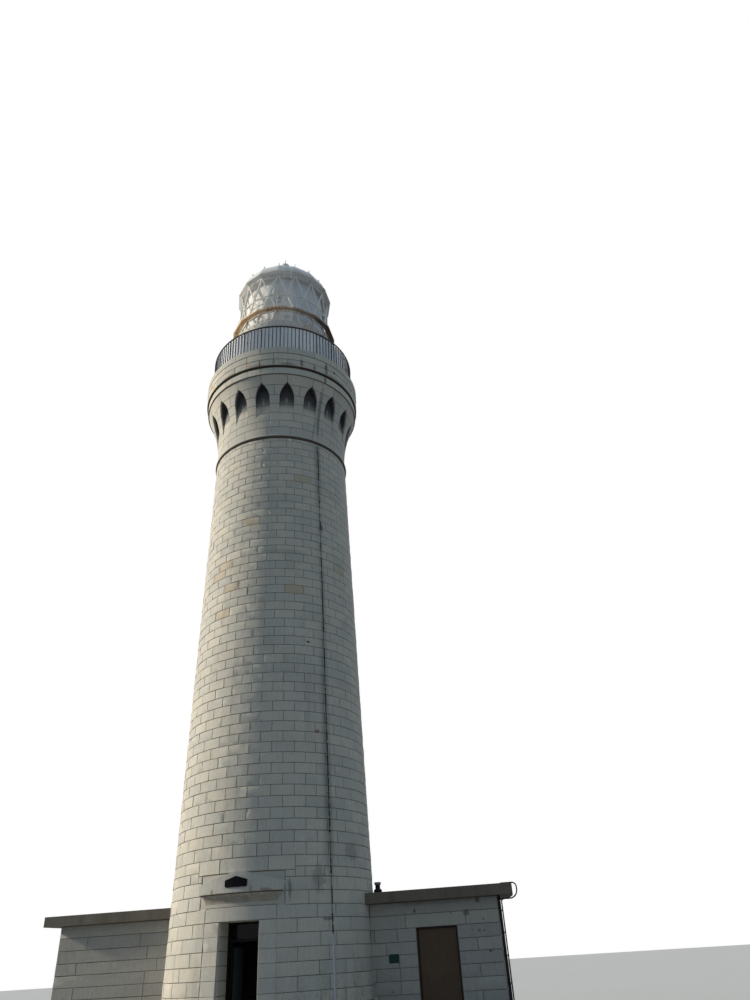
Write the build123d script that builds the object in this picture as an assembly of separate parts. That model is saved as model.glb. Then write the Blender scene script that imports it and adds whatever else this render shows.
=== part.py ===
from build123d import *
import math
import os

# A granite lighthouse with a flared gallery and a D-shaped annex, in millimetres.
# The tower's axis is Z, the ground is z = 0 and the entrance faces -Y.

# Clearances
FIT_GAP = 0.3
CUT_MARGIN = 60.0

# Tower shaft
SHAFT_BASE_RADIUS = 2853.0
SHAFT_TAPER = 0.02445
SHAFT_HEIGHT = 17560.0
TOWER_HOLLOW_RADIUS = 2000.0
FRONT_HALF_WIDTH = 1250.0
SHAFT_SEGMENTS = 7
FLOOR_THICKNESS = 150.0

# Entrance surround, a dressed band set back into the tapering wall
ENTRANCE_WIDTH = 1000.0
ENTRANCE_TOP = 2560.0
SURROUND_SETBACK = 103.0
SURROUND_HALF_WIDTH = 918.0
LINTEL_HEIGHT = 320.0
JAMB_CHAMFER = 40.0

# Hood over the entrance
HOOD_PROJECTION = 180.0
HOOD_TAIL = 310.0
HOOD_DRIP = 12.0
HOOD_HALF_WIDTH = 1095.0
HOOD_SPLAY = 30.0
HOOD_SIDE_HEIGHT = 215.0
HOOD_GABLE = 290.0
HOOD_CROWN_RADIUS = 1000.0
COVE_HEIGHT = 295.0
COVE_BAND = 60.0
COVE_FOOT_PROJECTION = 30.0
COVE_FOOT_INSET = 150.0

# Entrance door
DOOR_FRAME_SEAT = 80.0
DOOR_FRAME_DEPTH = 90.0
DOOR_FRAME_WIDTH = 50.0
LEAF_OPENING_HEIGHT = 1980.0
TRANSOM_BAR = 60.0
LEAF_THICKNESS = 40.0
LEAF_STILE = 90.0
LEAF_CLEARANCE = 6.0
LEAF_BOTTOM_RAIL = 180.0
GLASS_THICKNESS = 8.0
HANDLE_HEIGHT = 930.0
HANDLE_LENGTH = 130.0
HANDLE_WIDTH = 20.0
HANDLE_THICKNESS = 16.0
HANDLE_REACH = 52.0
SPINDLE_RADIUS = 10.0

# Hinges of both doors
HINGES = 3
HINGE_RADIUS = 9.0
HINGE_BARREL = 55.0
HINGE_PLATE_WIDTH = 38.0
HINGE_PLATE = 3.0
HINGE_INSET = 200.0

# Capital below the gallery
NECK_RISE = 5.0
NECK_ROLL_RADIUS = 68.0
NECK_COLLAR = 45.0
BELL_HEIGHT = 2418.0
BELL_FLARE = 471.0
BELL_BELLY = 104.0
BAND_LEDGE = 30.0
BAND_HEIGHT = 300.0
BELL_SEGMENTS = 6
CAPITAL_TURN = 1.2
NICHES = 18
NICHE_WIDTH = 540.0
NICHE_DEPTH_START = 38.0
NICHE_FOOT = 248.0
NICHE_SPRING = 1548.0
NICHE_APEX = 2160.0

# Gallery stonework
GROOVE_HEIGHT = 60.0
GROOVE_SETBACK = 25.0
COURSE_PROJECTION = 60.0
COURSE_HEIGHT = 300.0
COURSE_STEP = 13.0
DECK_STEP = 14.0
DECK_THICKNESS = 285.0

# Gallery railing
RAIL_SETBACK = 200.0
RAIL_HEIGHT = 1300.0
RAIL_TUBE = 42.0
LOWER_RAIL = 24.0
LOWER_RAIL_HEIGHT = 90.0
POSTS = 24
BALUSTERS_PER_BAY = 4
POST_SIZE = 30.0
BALUSTER_SIZE = 22.0
SCREEN_THICKNESS = 5.0
SCREEN_MARGIN = 30.0

# Service room under the lantern
DRUM_RADIUS = 2235.0
DRUM_WALL = 140.0
DRUM_HEIGHT = 1910.0
SILL_HEIGHT = 270.0
SILL_OVERHANG = 40.0
SILL_CHAMFER = 35.0

# Lantern lattice, glass and curtain
LANTERN_SIDES = 16
LANTERN_TURN = -2.0
LATTICE_RADIUS = 1900.0
CATWALK_LEVEL = 960.0
MIDDLE_LEVEL = 1940.0
TOP_LEVEL = 3090.0
BAR_WIDTH = 44.0
BAR_DEPTH = 60.0
NODE_BLOCK = 80.0
SILL_INNER_LIP = 120.0
CURTAIN_SETBACK = 224.0
CURTAIN_THICKNESS = 8.0
CURTAIN_BOTTOM_GAP = 60.0

# Catwalk round the lantern
CATWALK_REACH = 300.0
CATWALK_PLATE = 14.0
CATWALK_RIM = 75.0
CATWALK_RIM_THICKNESS = 16.0
STAY_RADIUS = 9.0
STAY_INSET = 30.0

# Lantern roof
EAVE_REACH = 165.0
EAVE_FOOT_REACH = 45.0
EAVE_FLARE_HEIGHT = 100.0
EAVE_FASCIA = 70.0
EAVE_UPPER_HEIGHT = 50.0
EAVE_UPPER_STEP = 26.0
EAVE_SEAT = 260.0
DOME_SETBACK = 60.0
DOME_RISE = 1200.0
DOME_OPENING = 200.0
DOME_THICKNESS = 18.0
LUG_SETBACK = 190.0
LUG_HEIGHT = 120.0
LUG_WIDTH = 60.0
LUG_THICKNESS = 24.0
LUG_EYE_RADIUS = 15.0

# Ventilator and lightning rod on the roof
VENT_BASE_RADIUS = 290.0
VENT_BASE_HEIGHT = 420.0
VENT_SHOULDER = 140.0
VENT_NECK_RADIUS = 130.0
VENT_NECK_HEIGHT = 447.0
VENT_BALL_RADIUS = 225.0
ROD_LENGTH = 305.0
ROD_RADIUS = 14.0

# Lantern ladder
LADDER_AZIMUTH = 21.0
LADDER_STANDOFF = 40.0
LADDER_WIDTH = 320.0
LADDER_STILE = 34.0
LADDER_STILE_THICKNESS = 12.0
LADDER_BRACKET = 40.0
RUNG_START = 150.0
RUNG_PITCH = 250.0
RUNG_RADIUS = 9.0

# Lightning conductor on the shaft
CONDUCTOR_AZIMUTH = 49.8
CONDUCTOR_TOP_GAP = 80.0
CONDUCTOR_WIDTH = 34.0
CONDUCTOR_THICKNESS = 16.0
GUARD_HEIGHT = 2190.0
GUARD_RADIUS = 30.0
GUARD_BEDDING = 4.0

# Annex
ANNEX_FRONT_Y = 350.0
ANNEX_RADIUS = 6220.0
ANNEX_WALL = 300.0
ANNEX_WALL_HEIGHT = 2855.0
ANNEX_REAR_SEGMENTS = 6
ROOF_THICKNESS = 257.0
ROOF_FRONT_OVERHANG = 250.0
ROOF_END_OVERHANG = 430.0

# Annex door
BROWN_DOOR_FROM_END = 1115.0
BROWN_DOOR_WIDTH = 1085.0
BROWN_DOOR_TOP = 2238.0
BROWN_DOOR_RECESS = 90.0
BROWN_FRAME = 45.0
BROWN_FRAME_DEPTH = 70.0
BROWN_LEAF_THICKNESS = 42.0
KNOB_HEIGHT = 950.0
KNOB_INSET = 70.0
KNOB_RADIUS = 26.0
KNOB_LENGTH = 22.0
KNOB_STEM_RADIUS = 9.0
KNOB_STEM_LENGTH = 34.0

# Annex pipes and roof vent
PIPE_RADIUS = 38.0
PIPE_STANDOFF = 12.0
PIPE_INSET_Y = 60.0
PIPE_CLIPS = (500.0, 1500.0, 2500.0)
PIPE_CLIP_HEIGHT = 30.0
PIPE_CLIP_EDGE = 12.0
CONDUIT_RADIUS = 17.0
CONDUIT_REACH = 115.0
CONDUIT_DROP = 90.0
CONDUIT_ROOF_RUN = 300.0
CONDUIT_UPPER_BEND = 110.0
CONDUIT_LOWER_BEND = 200.0
CONDUIT_WALL_BEND = 70.0
CONDUIT_SPACING = 10.0
ROOF_VENT_AZIMUTH = 96.0
ROOF_VENT_GAP = 50.0
ROOF_VENT_FOOT_RADIUS = 115.0
ROOF_VENT_FOOT_HEIGHT = 110.0
ROOF_VENT_CONE_HEIGHT = 45.0
ROOF_VENT_NECK_RADIUS = 68.0
ROOF_VENT_NECK_HEIGHT = 95.0
ROOF_VENT_CAP_RADIUS = 92.0
ROOF_VENT_CAP_HEIGHT = 60.0

# Levels that follow from the sizes above
LINTEL_TOP = ENTRANCE_TOP + LINTEL_HEIGHT
HOOD_UNDERSIDE = LINTEL_TOP + COVE_HEIGHT
HOOD_SHOULDER = HOOD_UNDERSIDE + HOOD_SIDE_HEIGHT
TRANSOM_BOTTOM = FLOOR_THICKNESS + LEAF_OPENING_HEIGHT
NECK_ROLL_LEVEL = SHAFT_HEIGHT + NECK_RISE + NECK_ROLL_RADIUS
BELL_FOOT = NECK_ROLL_LEVEL + NECK_ROLL_RADIUS + NECK_COLLAR
BELL_TOP = BELL_FOOT + BELL_HEIGHT
BAND_TOP = BELL_TOP + BAND_HEIGHT
GROOVE_TOP = BAND_TOP + GROOVE_HEIGHT
DECK_BOTTOM = GROOVE_TOP + 2 * COURSE_HEIGHT
DECK_TOP = DECK_BOTTOM + DECK_THICKNESS
RAIL_TOP = DECK_TOP + RAIL_HEIGHT
DRUM_TOP = DECK_TOP + DRUM_HEIGHT
SILL_TOP = DRUM_TOP + SILL_HEIGHT
LATTICE_LEVELS = (
    SILL_TOP + BAR_DEPTH / 2,
    SILL_TOP + CATWALK_LEVEL,
    SILL_TOP + MIDDLE_LEVEL,
    SILL_TOP + TOP_LEVEL,
)
CATWALK_TOP = LATTICE_LEVELS[1] - BAR_WIDTH / 2
EAVE_BOTTOM = LATTICE_LEVELS[3] + BAR_DEPTH / 2
EAVE_EDGE = EAVE_BOTTOM + EAVE_FLARE_HEIGHT
EAVE_SHOULDER = EAVE_EDGE + EAVE_FASCIA
EAVE_TOP = EAVE_SHOULDER + EAVE_UPPER_HEIGHT
ROOF_TOP = ANNEX_WALL_HEIGHT + ROOF_THICKNESS

# Radii and distances that follow from the sizes above
SURROUND_RADIUS = SHAFT_BASE_RADIUS - SURROUND_SETBACK
HOOD_RADIUS = SURROUND_RADIUS + HOOD_PROJECTION
DOOR_FRAME_Y = TOWER_HOLLOW_RADIUS + DOOR_FRAME_SEAT
SURROUND_HALF_ANGLE = math.degrees(math.asin(SURROUND_HALF_WIDTH / SURROUND_RADIUS))
FRONT_HALF_ANGLE = math.degrees(math.asin(FRONT_HALF_WIDTH / SHAFT_BASE_RADIUS))
NECK_RADIUS = SHAFT_BASE_RADIUS - SHAFT_TAPER * SHAFT_HEIGHT
BELL_TOP_RADIUS = NECK_RADIUS + BELL_FLARE
BAND_RADIUS = BELL_TOP_RADIUS + BAND_LEDGE
COURSE_RADIUS = BAND_RADIUS + COURSE_PROJECTION
DECK_RADIUS = COURSE_RADIUS + COURSE_STEP + DECK_STEP
RAIL_RADIUS = DECK_RADIUS - RAIL_SETBACK
SILL_RADIUS = DRUM_RADIUS + SILL_OVERHANG
SIDE_ANGLE = 360 / LANTERN_SIDES
FLAT_SHARE = math.cos(math.radians(SIDE_ANGLE / 2))
PANE_LEAN = LATTICE_RADIUS * (1 - FLAT_SHARE) / (LATTICE_LEVELS[1] - LATTICE_LEVELS[0])
GLASS_INSET = (BAR_DEPTH / 2 + BAR_WIDTH / 2 * PANE_LEAN + FIT_GAP) / FLAT_SHARE
CATWALK_RADIUS = LATTICE_RADIUS + CATWALK_REACH
CURTAIN_RADIUS = LATTICE_RADIUS - CURTAIN_SETBACK
EAVE_RADIUS = LATTICE_RADIUS + EAVE_REACH
DOME_RADIUS = (EAVE_RADIUS - EAVE_UPPER_STEP - DOME_SETBACK) * FLAT_SHARE
LUG_RING_RADIUS = DOME_RADIUS - LUG_SETBACK
LADDER_RADIUS = CATWALK_RADIUS * FLAT_SHARE + LADDER_STANDOFF + LADDER_STILE / 2
LEAF_HINGE_X = -ENTRANCE_WIDTH / 2 + DOOR_FRAME_WIDTH + LEAF_CLEARANCE
LEAF_HINGE_Y = -DOOR_FRAME_Y + DOOR_FRAME_DEPTH / 2
LEAF_WIDTH = ENTRANCE_WIDTH - 2 * DOOR_FRAME_WIDTH - 2 * LEAF_CLEARANCE
BROWN_DOOR_RIGHT = ANNEX_RADIUS - BROWN_DOOR_FROM_END
BROWN_DOOR_LEFT = BROWN_DOOR_RIGHT - BROWN_DOOR_WIDTH
BROWN_LEAF_Y = -ANNEX_FRONT_Y + BROWN_DOOR_RECESS
PIPE_X = ANNEX_RADIUS + PIPE_STANDOFF + PIPE_RADIUS
PIPE_Y = -ANNEX_FRONT_Y + PIPE_INSET_Y
CONDUIT_X = PIPE_X + PIPE_RADIUS + CONDUIT_SPACING + CONDUIT_RADIUS


def shaft_radius(z):
    return SHAFT_BASE_RADIUS - SHAFT_TAPER * z


def turned(shape, azimuth):
    # Azimuth 0 faces -Y and grows towards +X.
    return Rot(0, 0, azimuth) * shape


def sector(face, start, end):
    # Turns an outline on the -Y side about the tower axis between two azimuths.
    return turned(revolve(face, Axis.Z, revolution_arc=end - start), start)


def outline(*points):
    # A closed face in the YZ plane from (radius, height) points on the -Y side.
    return make_face(Polyline(*[(0, -r, z) for r, z in points], close=True))


def band(inner, outer, bottom, top):
    return outline((inner, bottom), (outer, bottom), (outer, top), (inner, top))


def ring(face):
    return revolve(face, Axis.Z)


def slab(x0, x1, y0, y1, z0, z1):
    centre = Pos((x0 + x1) / 2, (y0 + y1) / 2, (z0 + z1) / 2)
    return centre * Box(x1 - x0, y1 - y0, z1 - z0)


def drum(radius, bottom, top):
    return Pos(0, 0, (bottom + top) / 2) * Cylinder(radius, top - bottom)


def polar(radius, azimuth, z):
    a = math.radians(azimuth)
    return Vector(radius * math.sin(a), -radius * math.cos(a), z)


def corner_azimuth(index):
    return SIDE_ANGLE * (index + 0.5) + LANTERN_TURN


def sided_plan(radius):
    # The lantern's many-sided outline.
    corners = [polar(radius, corner_azimuth(k), 0) for k in range(LANTERN_SIDES)]
    return make_face(Polyline(*corners, close=True))


def sided_prism(radius, bottom, top):
    return Pos(0, 0, bottom) * extrude(sided_plan(radius), top - bottom)


def bar_between(start, end, width, depth):
    # A square-edged bar whose depth points away from the tower axis.
    along = end - start
    middle = (start + end) * 0.5
    outward = Vector(middle.X, middle.Y, 0).normalized()
    side = along.cross(outward).normalized()
    plane = Plane(origin=middle, x_dir=side, z_dir=along.normalized())
    return plane * Box(width, depth, along.length)


def rod_between(start, end, radius):
    along = end - start
    plane = Plane(origin=(start + end) * 0.5, z_dir=along.normalized())
    return plane * Cylinder(radius, along.length)


def largest(shape):
    return max(shape.solids(), key=lambda solid: solid.volume)


def several(shapes):
    solids = []
    for shape in shapes:
        solids.extend(shape.solids())
    return Compound(children=solids)


def save(name, shape):
    shape.label = name
    export_step(shape, f"parts/{name}.step")
    print(name, len(shape.solids()), round(shape.volume / 1e9, 3))


# Shaft wall
def wall_face(bottom, top):
    return outline(
        (TOWER_HOLLOW_RADIUS, bottom),
        (shaft_radius(bottom), bottom),
        (shaft_radius(top), top),
        (TOWER_HOLLOW_RADIUS, top),
    )


def shaft_segment(index):
    step = (360 - 2 * FRONT_HALF_ANGLE) / SHAFT_SEGMENTS
    start = FRONT_HALF_ANGLE + step * index
    return sector(wall_face(0, SHAFT_HEIGHT), start, start + step)


def front_segment(bottom, top):
    return sector(wall_face(bottom, top), -FRONT_HALF_ANGLE, FRONT_HALF_ANGLE)


def surround_cut():
    beyond = SHAFT_BASE_RADIUS + CUT_MARGIN
    face = band(SURROUND_RADIUS, beyond, -CUT_MARGIN, LINTEL_TOP)
    return sector(face, -SURROUND_HALF_ANGLE, SURROUND_HALF_ANGLE)


def entrance_jambs():
    half = ENTRANCE_WIDTH / 2
    wall = front_segment(0, ENTRANCE_TOP) - surround_cut()
    opening = slab(-half, half, -SHAFT_BASE_RADIUS - CUT_MARGIN, 0, -CUT_MARGIN, ENTRANCE_TOP + CUT_MARGIN)
    corner_y = -math.sqrt(SURROUND_RADIUS ** 2 - half ** 2)
    chamfer = Rot(0, 0, 45) * Box(JAMB_CHAMFER, JAMB_CHAMFER, ENTRANCE_TOP + CUT_MARGIN)
    wall = wall - opening
    for side in (-1, 1):
        wall = wall - Pos(side * half, corner_y, ENTRANCE_TOP / 2) * chamfer
    return several([wall])


def entrance_lintel():
    return front_segment(ENTRANCE_TOP, LINTEL_TOP) - surround_cut()


def entrance_sill():
    half = ENTRANCE_WIDTH / 2
    block = slab(-half, half, -SURROUND_RADIUS, 0, 0, FLOOR_THICKNESS)
    return (block & drum(SURROUND_RADIUS, 0, FLOOR_THICKNESS)) - drum(TOWER_HOLLOW_RADIUS, -CUT_MARGIN, FLOOR_THICKNESS + CUT_MARGIN)


# Hood, where a moulding turned about the axis crosses a gabled front outline
def hood_moulding():
    back = SURROUND_RADIUS - HOOD_TAIL
    foot = SURROUND_RADIUS + COVE_FOOT_PROJECTION
    lip = HOOD_RADIUS - HOOD_DRIP
    top = HOOD_SHOULDER + HOOD_GABLE + CUT_MARGIN
    edges = [
        Polyline((0, -back, top), (0, -back, LINTEL_TOP), (0, -foot, LINTEL_TOP), (0, -foot, LINTEL_TOP + COVE_BAND)),
        TangentArc((0, -foot, LINTEL_TOP + COVE_BAND), (0, -lip, HOOD_UNDERSIDE), tangent=(0, 0, 1)),
        Polyline((0, -lip, HOOD_UNDERSIDE), (0, -HOOD_RADIUS, HOOD_UNDERSIDE), (0, -HOOD_RADIUS, top), (0, -back, top)),
    ]
    return sector(make_face(edges), -FRONT_HALF_ANGLE, FRONT_HALF_ANGLE)


def hood_front():
    foot = HOOD_HALF_WIDTH - COVE_FOOT_INSET
    lip = HOOD_HALF_WIDTH - HOOD_DRIP
    wide = HOOD_HALF_WIDTH + HOOD_SPLAY
    start = LINTEL_TOP + COVE_BAND
    edges = [
        Line((-foot, 0, LINTEL_TOP), (foot, 0, LINTEL_TOP)),
        Line((foot, 0, LINTEL_TOP), (foot, 0, start)),
        TangentArc((foot, 0, start), (lip, 0, HOOD_UNDERSIDE), tangent=(0, 0, 1)),
        Polyline((lip, 0, HOOD_UNDERSIDE), (HOOD_HALF_WIDTH, 0, HOOD_UNDERSIDE), (wide, 0, HOOD_SHOULDER)),
        Polyline((wide, 0, HOOD_SHOULDER), (0, 0, HOOD_SHOULDER + HOOD_GABLE), (-wide, 0, HOOD_SHOULDER)),
        Polyline((-wide, 0, HOOD_SHOULDER), (-HOOD_HALF_WIDTH, 0, HOOD_UNDERSIDE), (-lip, 0, HOOD_UNDERSIDE)),
        TangentArc((-foot, 0, start), (-lip, 0, HOOD_UNDERSIDE), tangent=(0, 0, 1)),
        Line((-foot, 0, start), (-foot, 0, LINTEL_TOP)),
    ]
    face = make_face(edges)
    crown = face.vertices().sort_by(Axis.Z)[-1]
    face = fillet(crown, HOOD_CROWN_RADIUS)
    return extrude(face, HOOD_RADIUS + CUT_MARGIN, dir=(0, -1, 0))


def hood():
    return largest(hood_moulding() & hood_front())


def shaft_front(hood_block):
    return largest(front_segment(LINTEL_TOP, SHAFT_HEIGHT) - hood_block)


# Entrance door
def entrance_frame():
    half = ENTRANCE_WIDTH / 2
    y0 = -DOOR_FRAME_Y - DOOR_FRAME_DEPTH / 2
    y1 = -DOOR_FRAME_Y + DOOR_FRAME_DEPTH / 2
    x = half - DOOR_FRAME_WIDTH
    z = TRANSOM_BOTTOM + TRANSOM_BAR
    outer = slab(-half, half, y0, y1, FLOOR_THICKNESS, ENTRANCE_TOP)
    lower = slab(-x, x, y0 - CUT_MARGIN, y1 + CUT_MARGIN, 0, TRANSOM_BOTTOM)
    upper = slab(-x, x, y0 - CUT_MARGIN, y1 + CUT_MARGIN, z, ENTRANCE_TOP - DOOR_FRAME_WIDTH)
    return (outer - lower - upper).fuse(*entrance_hinge(-1))


def transom_glass():
    x = ENTRANCE_WIDTH / 2 - DOOR_FRAME_WIDTH
    y = -DOOR_FRAME_Y
    t = GLASS_THICKNESS / 2
    return slab(-x, x, y - t, y + t, TRANSOM_BOTTOM + TRANSOM_BAR, ENTRANCE_TOP - DOOR_FRAME_WIDTH)


def hinge_heights(bottom, top):
    first = bottom + HINGE_INSET
    last = top - HINGE_INSET
    return [first + (last - first) * k / (HINGES - 1) for k in range(HINGES)]


def hinge_half(x, y, facing, side, heights):
    # Barrels and plates in front of a face at y that looks along facing (-1 or 1).
    # side 1 is the leaf's half above each height, side -1 the frame's half below it.
    parts = []
    for z in heights:
        middle = z + side * (HINGE_BARREL / 2 + FIT_GAP / 2)
        parts.append(Pos(x, y + facing * HINGE_RADIUS, middle) * Cylinder(HINGE_RADIUS, HINGE_BARREL))
        x1 = x + side * (HINGE_PLATE_WIDTH + LEAF_CLEARANCE / 2)
        y1 = y + facing * HINGE_PLATE
        low = middle - HINGE_BARREL / 2
        parts.append(slab(min(x, x1), max(x, x1), min(y, y1), max(y, y1), low, low + HINGE_BARREL))
    return parts


def entrance_hinge(side):
    x = LEAF_HINGE_X - LEAF_CLEARANCE / 2
    return hinge_half(x, LEAF_HINGE_Y, 1, side, hinge_heights(FLOOR_THICKNESS, TRANSOM_BOTTOM))


def annex_hinge(side):
    x = BROWN_DOOR_LEFT + BROWN_FRAME + LEAF_CLEARANCE / 2
    return hinge_half(x, BROWN_LEAF_Y, -1, side, hinge_heights(FLOOR_THICKNESS, BROWN_DOOR_TOP - BROWN_FRAME))


def leaf_pane(y0, y1):
    x0 = LEAF_HINGE_X + LEAF_STILE
    x1 = LEAF_HINGE_X + LEAF_WIDTH - LEAF_STILE
    z0 = FLOOR_THICKNESS + LEAF_CLEARANCE + LEAF_BOTTOM_RAIL
    z1 = TRANSOM_BOTTOM - LEAF_CLEARANCE - LEAF_STILE
    return slab(x0, x1, y0, y1, z0, z1)


def opened(shape):
    # Swings the leaf from its closed place to where it stands, in against the left.
    x = LEAF_HINGE_X - LEAF_CLEARANCE / 2
    y = LEAF_HINGE_Y + HINGE_RADIUS
    return Pos(x, y, 0) * Rot(0, 0, 90) * Pos(-x, -y, 0) * shape


def entrance_leaf():
    y1 = LEAF_HINGE_Y
    y0 = y1 - LEAF_THICKNESS
    z0 = FLOOR_THICKNESS + LEAF_CLEARANCE
    panel = slab(LEAF_HINGE_X, LEAF_HINGE_X + LEAF_WIDTH, y0, y1, z0, TRANSOM_BOTTOM - LEAF_CLEARANCE)
    panel = panel - leaf_pane(y0 - CUT_MARGIN, y1 + CUT_MARGIN)
    lock_x = LEAF_HINGE_X + LEAF_WIDTH - LEAF_STILE / 2
    z = FLOOR_THICKNESS + HANDLE_HEIGHT
    for side in (-1, 1):
        y = (y0 + y1) / 2 + side * (LEAF_THICKNESS + HANDLE_REACH) / 2
        tip = y + side * (HANDLE_REACH - HANDLE_THICKNESS) / 2
        panel = panel + Pos(lock_x, y, z) * Rot(90, 0, 0) * Cylinder(SPINDLE_RADIUS, HANDLE_REACH)
        handle = Box(HANDLE_LENGTH, HANDLE_THICKNESS, HANDLE_WIDTH)
        panel = panel + Pos(lock_x - HANDLE_LENGTH / 2 + SPINDLE_RADIUS, tip, z) * handle
    return opened(panel.fuse(*entrance_hinge(1)))


def entrance_leaf_glass():
    middle = LEAF_HINGE_Y - LEAF_THICKNESS / 2
    return opened(leaf_pane(middle - GLASS_THICKNESS / 2, middle + GLASS_THICKNESS / 2))


# Capital with its pointed niches
def bell_outline():
    roll_side = NECK_RADIUS + NECK_ROLL_RADIUS
    roll_low = NECK_ROLL_LEVEL - NECK_ROLL_RADIUS
    roll_high = NECK_ROLL_LEVEL + NECK_ROLL_RADIUS
    bell = Spline(
        (0, -NECK_RADIUS, BELL_FOOT),
        (0, -NECK_RADIUS - BELL_BELLY, BELL_FOOT + BELL_HEIGHT / 2),
        (0, -BELL_TOP_RADIUS, BELL_TOP),
        tangents=[(0, 0, 1), (0, -BELL_FLARE * 2.1, BELL_HEIGHT)],
    )
    edges = [
        Polyline((0, -TOWER_HOLLOW_RADIUS, SHAFT_HEIGHT), (0, -NECK_RADIUS, SHAFT_HEIGHT), (0, -NECK_RADIUS, roll_low)),
        ThreePointArc((0, -NECK_RADIUS, roll_low), (0, -roll_side, NECK_ROLL_LEVEL), (0, -NECK_RADIUS, roll_high)),
        Line((0, -NECK_RADIUS, roll_high), (0, -NECK_RADIUS, BELL_FOOT)),
        bell,
        Polyline(
            (0, -BELL_TOP_RADIUS, BELL_TOP),
            (0, -BAND_RADIUS, BELL_TOP),
            (0, -BAND_RADIUS, BAND_TOP),
            (0, -TOWER_HOLLOW_RADIUS, BAND_TOP),
            (0, -TOWER_HOLLOW_RADIUS, SHAFT_HEIGHT),
        ),
    ]
    return make_face(edges)


def niche_cutter(azimuth):
    half = NICHE_WIDTH / 2
    foot = BELL_FOOT + NICHE_FOOT
    spring = BELL_FOOT + NICHE_SPRING
    apex = BELL_FOOT + NICHE_APEX
    right = TangentArc((half, 0, spring), (0, 0, apex), tangent=(0, 0, 1))
    left = TangentArc((-half, 0, spring), (0, 0, apex), tangent=(0, 0, 1))
    lower = Polyline((-half, 0, spring), (-half, 0, foot), (half, 0, foot), (half, 0, spring))
    prism = extrude(make_face([left, right, lower]), BAND_RADIUS + CUT_MARGIN, dir=(0, -1, 0))
    core = drum(NECK_RADIUS + NICHE_DEPTH_START, foot - CUT_MARGIN, apex + CUT_MARGIN)
    return turned(prism - core, azimuth)


def bell_segment(index):
    step = 360 / BELL_SEGMENTS
    start = step * index - step / 2 + CAPITAL_TURN
    piece = sector(bell_outline(), start, start + step)
    pitch = 360 / NICHES
    for k in range(NICHES // BELL_SEGMENTS):
        piece = piece - niche_cutter(start + pitch * (k + 0.5))
    return piece


# Gallery stonework and railing
def gallery_cornice():
    course = GROOVE_TOP + COURSE_HEIGHT
    groove = BAND_RADIUS - GROOVE_SETBACK
    return ring(
        outline(
            (TOWER_HOLLOW_RADIUS, BAND_TOP),
            (groove, BAND_TOP),
            (groove, GROOVE_TOP),
            (COURSE_RADIUS, GROOVE_TOP),
            (COURSE_RADIUS, course),
            (COURSE_RADIUS + COURSE_STEP, course),
            (COURSE_RADIUS + COURSE_STEP, DECK_BOTTOM),
            (TOWER_HOLLOW_RADIUS, DECK_BOTTOM),
        )
    )


def gallery_railing():
    half = RAIL_TUBE / 2
    thin = LOWER_RAIL / 2
    lower = DECK_TOP + LOWER_RAIL_HEIGHT
    whole = ring(band(RAIL_RADIUS - half, RAIL_RADIUS + half, RAIL_TOP - RAIL_TUBE, RAIL_TOP))
    whole = whole + ring(band(RAIL_RADIUS - thin, RAIL_RADIUS + thin, lower, lower + LOWER_RAIL))
    bay = 360 / POSTS
    pitch = bay / (BALUSTERS_PER_BAY + 1)
    post_height = RAIL_HEIGHT - half
    bar_height = RAIL_TOP - half - lower - thin
    post = Pos(0, -RAIL_RADIUS, DECK_TOP + post_height / 2) * Box(POST_SIZE, POST_SIZE, post_height)
    bar = Pos(0, -RAIL_RADIUS, lower + thin + bar_height / 2) * Box(BALUSTER_SIZE, BALUSTER_SIZE, bar_height)
    bars = []
    for k in range(POSTS):
        bars.append(turned(post, bay * k))
        for n in range(BALUSTERS_PER_BAY):
            bars.append(turned(bar, bay * k + pitch * (n + 1)))
    return whole.fuse(*bars)


def railing_screen():
    outer = RAIL_RADIUS - POST_SIZE / 2 - FIT_GAP
    return ring(band(outer - SCREEN_THICKNESS, outer, DECK_TOP + SCREEN_MARGIN, RAIL_TOP - RAIL_TUBE - SCREEN_MARGIN))


# Service room
def sill_ring():
    inner = LATTICE_RADIUS - SILL_INNER_LIP
    return ring(
        outline(
            (inner, DRUM_TOP),
            (SILL_RADIUS - SILL_CHAMFER, DRUM_TOP),
            (SILL_RADIUS, DRUM_TOP + SILL_CHAMFER),
            (SILL_RADIUS, SILL_TOP),
            (inner, SILL_TOP),
        )
    )


# Lantern lattice
def lattice_nodes(level, radius):
    # Every second level is turned by half a side, so the bars between make triangles.
    offset = LANTERN_TURN + (SIDE_ANGLE / 2 if level % 2 == 1 else 0)
    z = LATTICE_LEVELS[level]
    return [polar(radius, offset + SIDE_ANGLE * k, z) for k in range(LANTERN_SIDES)]


def lantern_lattice():
    bars = []
    for level in range(len(LATTICE_LEVELS)):
        nodes = lattice_nodes(level, LATTICE_RADIUS)
        for k, node in enumerate(nodes):
            after = nodes[(k + 1) % LANTERN_SIDES]
            azimuth = SIDE_ANGLE * (k + (level % 2) / 2) + LANTERN_TURN
            bars.append(bar_between(node, after, BAR_WIDTH, BAR_DEPTH))
            bars.append(Pos(node) * Rot(0, 0, azimuth) * Box(NODE_BLOCK, BAR_DEPTH, BAR_DEPTH))
    for level in range(len(LATTICE_LEVELS) - 1):
        lower = lattice_nodes(level, LATTICE_RADIUS)
        upper = lattice_nodes(level + 1, LATTICE_RADIUS)
        neighbour = -1 if level % 2 == 0 else 1
        for k in range(LANTERN_SIDES):
            bars.append(bar_between(lower[k], upper[k], BAR_WIDTH, BAR_DEPTH))
            bars.append(bar_between(lower[k], upper[(k + neighbour) % LANTERN_SIDES], BAR_WIDTH, BAR_DEPTH))
    return bars[0].fuse(*bars[1:])


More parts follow.
